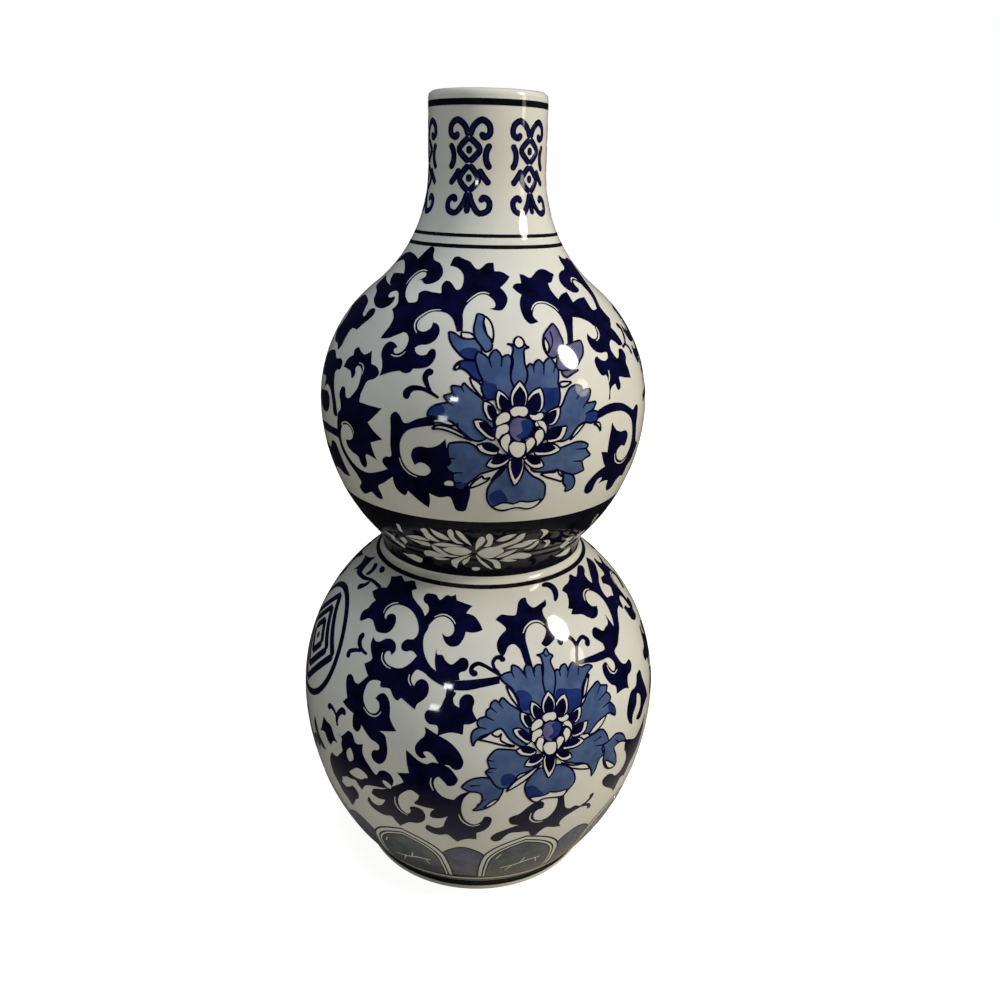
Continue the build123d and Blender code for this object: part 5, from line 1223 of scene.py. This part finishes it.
# Lappets round the foot, each a nest of lines about a grey panel with pale twigs, and an arch between two
lappet = dict(
    first=15.7, count=9, foot=19.0, archLine=0.7, apexShare=1.25,
    side=[(-15.3, 19.0, 1), (-14.7, 35), (-13.2, 44), (-10.4, 49.2), (-6, 53.4), (-2.2, 55.6)],
    apex=(0, 56.6, 1),
    nest=[("lines", 0.0, "ink"), ("lights", 0.7, "wash"), ("lines", 2.1, "deep"), ("lights", 2.8, "edge"),
          ("lines", 3.5, "strip"), ("panels", 4.0, "stripEdge")],
    twigs=[[(-7, 30, 0.7), (-2, 31.4, 0.9), (3, 34, 0.9), (8, 34.6, 0.6)], [(0.4, 33, 0.7), (1.6, 38, 0.4)],
           [(-2.6, 31, 0.7), (-4.6, 25.4, 0.4)], [(6, 34.4, 0.7), (7, 29.6, 0.4)],
           [(-9, 40, 0.6), (-7.4, 44, 0.4)]],
    arch=[(-20, 50.4), (-24, 48), (-26.6, 44.2), (-25.6, 34), (-24.6, 19.0, 1), (-15.4, 19.0, 1),
          (-14.4, 34), (-13.4, 44.2), (-16, 48)])
lappetTurns = [lappet["first"] + k * 360 / lappet["count"] for k in range(lappet["count"])]
fillShape("lappet_arches", lappet["arch"], "under", lappetTurns)
edgeShape("lappet_lines", lappet["arch"], lappet["archLine"], "ink", lappetTurns)
halfWidth = math.radians(-lappet["side"][0][0]) * float(wallAt(lappet["foot"])[0])
height = lappet["apex"][1] - lappet["foot"]
for pot, inset, layer in lappet["nest"]:
    thinner = 1 - inset / halfWidth
    lower = 1 - lappet["apexShare"] * inset / height
    left = [(x * thinner, lappet["foot"] + (y - lappet["foot"]) * lower, *rest)
            for x, y, *rest in lappet["side"]]
    top = (0, lappet["foot"] + height * lower, 1)
    right = [(-x, *rest) for x, *rest in reversed(left)]
    fillShape("lappet_" + pot, left + [top] + right, layer, lappetTurns)
for twig in lappet["twigs"]:
    lay("lappet_lights", brush(twig), "point", lappetTurns)
emptyPot("lappet_arches", duskWash, "cobalt")
emptyPot("lappet_lines", bandGround, "cobalt")
emptyPot("lappet_lights", whiteGlaze, "white_glaze")
emptyPot("lappet_panels", footWash, "cobalt")
print("bands and ornaments drawn")

# Stage, light and camera, in metres: the floor glows from glowNear to glowFar up to white, and the glaze
# reflects the lit floor as far as boardNear, and none of it past boardFar
stage = dict(floorSize=12.0, floor="#d2ccbd", floorGlow=0.9, glowNear=0.25, glowFar=1.3,
             boardNear=0.08, boardFar=0.17, boardShare=0.7, glossyShare=0.012, light=0.155)
white = (1, 1, 1, 1)


def seenShare(tree):
    # 1 for what the camera sees, straight or through glass, less in reflections, 0 for light on the vase.
    rays = addNode(tree, "ShaderNodeLightPath").outputs
    straight = addNode(tree, "ShaderNodeMath", {0: rays["Is Camera Ray"], 1: rays["Is Transmission Ray"]},
                       operation="MAXIMUM")
    glossy = addNode(tree, "ShaderNodeMath", {0: rays["Is Glossy Ray"], 1: stage["glossyShare"]},
                     operation="MULTIPLY")
    share = addNode(tree, "ShaderNodeMath", {0: straight.outputs[0], 1: glossy.outputs[0]},
                    operation="MAXIMUM")
    return share.outputs[0]


def paleFloor():
    # Shows white to the eye and keeps a soft shadow; the glaze shows the lit floor round the foot.
    material = bpy.data.materials.new("pale_floor")
    tree = emptyTree(material)
    spot = addNode(tree, "ShaderNodeNewGeometry").outputs["Position"]
    away = addNode(tree, "ShaderNodeVectorMath", {0: spot}, operation="LENGTH").outputs["Value"]
    level = addNode(tree, "ShaderNodeMapRange", {
        "Value": away, "From Min": stage["glowNear"], "From Max": stage["glowFar"],
        "To Min": stage["floorGlow"]})
    strength = addNode(tree, "ShaderNodeMath", {0: seenShare(tree), 1: level.outputs[0]},
                       operation="MULTIPLY")
    glow = addNode(tree, "ShaderNodeEmission", {"Color": white, "Strength": strength.outputs[0]}).outputs[0]
    matte = addNode(tree, "ShaderNodeBsdfDiffuse", {"Color": linearColour(stage["floor"])}).outputs[0]
    both = addNode(tree, "ShaderNodeAddShader", {0: glow, 1: matte}).outputs[0]
    board = addNode(tree, "ShaderNodeMapRange", {
        "Value": away, "From Min": stage["boardNear"], "From Max": stage["boardFar"],
        "To Min": stage["boardShare"], "To Max": 0.0})
    inGlaze = addNode(tree, "ShaderNodeMixShader", {0: board.outputs[0], 1: glow, 2: matte}).outputs[0]
    glossyRay = addNode(tree, "ShaderNodeLightPath").outputs["Is Glossy Ray"]
    shown = addNode(tree, "ShaderNodeMixShader", {0: glossyRay, 1: both, 2: inGlaze})
    addNode(tree, "ShaderNodeOutputMaterial", {"Surface": shown.outputs[0]})
    return material


reach = stage["floorSize"] / 2
floorMesh = bpy.data.meshes.new("floor")
floorMesh.from_pydata([(-reach, -reach, 0), (reach, -reach, 0), (reach, reach, 0), (-reach, reach, 0)], [],
                      [(0, 1, 2, 3)])
floorMesh.materials.append(paleFloor())
floor = bpy.data.objects.new("floor", floorMesh)
scene.collection.objects.link(floor)

world = bpy.data.worlds.new("studio")
scene.world = world
worldTree = emptyTree(world)
onMatte = addNode(worldTree, "ShaderNodeLightPath").outputs["Is Diffuse Ray"]
fill = addNode(worldTree, "ShaderNodeMath", {0: onMatte, 1: stage["light"]}, operation="MULTIPLY")
light = addNode(worldTree, "ShaderNodeMath", {0: seenShare(worldTree), 1: fill.outputs[0]},
                operation="MAXIMUM")
sky = addNode(worldTree, "ShaderNodeBackground", {"Color": white, "Strength": light.outputs[0]})
addNode(worldTree, "ShaderNodeOutputWorld", {"Surface": sky.outputs[0]})

# Lamps: where each stands, its size in metres, power and colour; all face the middle of the vase
lampAim = np.array((0, 0, 0.2))
lamps = dict(
    key=dict(place=(0.98, -0.35, 0.93), size=(0.26, 0.35), power=11.6, colour="#fff3e2", shape="ELLIPSE"),
    top=dict(place=(-0.1, -0.25, 1.45), size=(0.5, 0.5), power=5.5, colour="#e9f3ff", shape="RECTANGLE"),
    pane=dict(place=(0.98, -0.35, 0.49), size=(0.2, 0.2), power=0.6, colour="#fff3e2", shape="ELLIPSE"),
    front=dict(place=(-0.41, -1.17, 0.55), size=(0.11, 0.06), power=0.6, colour="#f4f8ff",
               shape="RECTANGLE"),
    side=dict(place=(-0.54, -1.12, 0.24), size=(0.12, 0.07), power=0.35, colour="#f4f8ff",
              shape="RECTANGLE"),
)
for lampName, lamp in lamps.items():
    light = bpy.data.lights.new(lampName, "AREA")
    light.shape = lamp["shape"]
    light.size, light.size_y = lamp["size"]
    light.energy = lamp["power"]
    light.color = linearColour(lamp["colour"])[:3]
    lampObject = bpy.data.objects.new(lampName, light)
    lampObject.location = lamp["place"]
    wayX, wayY, wayZ = lampAim - np.array(lamp["place"])
    lampObject.rotation_euler = (math.atan2(math.hypot(wayX, wayY), -wayZ), 0, math.atan2(-wayX, wayY))
    lampObject.visible_glossy = lampName != "top"  # too broad to be seen in the glaze
    scene.collection.objects.link(lampObject)

lens = bpy.data.cameras.new("camera")
lens.lens = view["lens"]
lens.sensor_width = view["sensor"]
lens.clip_start = view["nearest"]
camera = bpy.data.objects.new("camera", lens)
camera.location = view["place"]
camera.rotation_euler = cameraTurn.to_euler()
scene.collection.objects.link(camera)
scene.camera = camera
print("stage set")
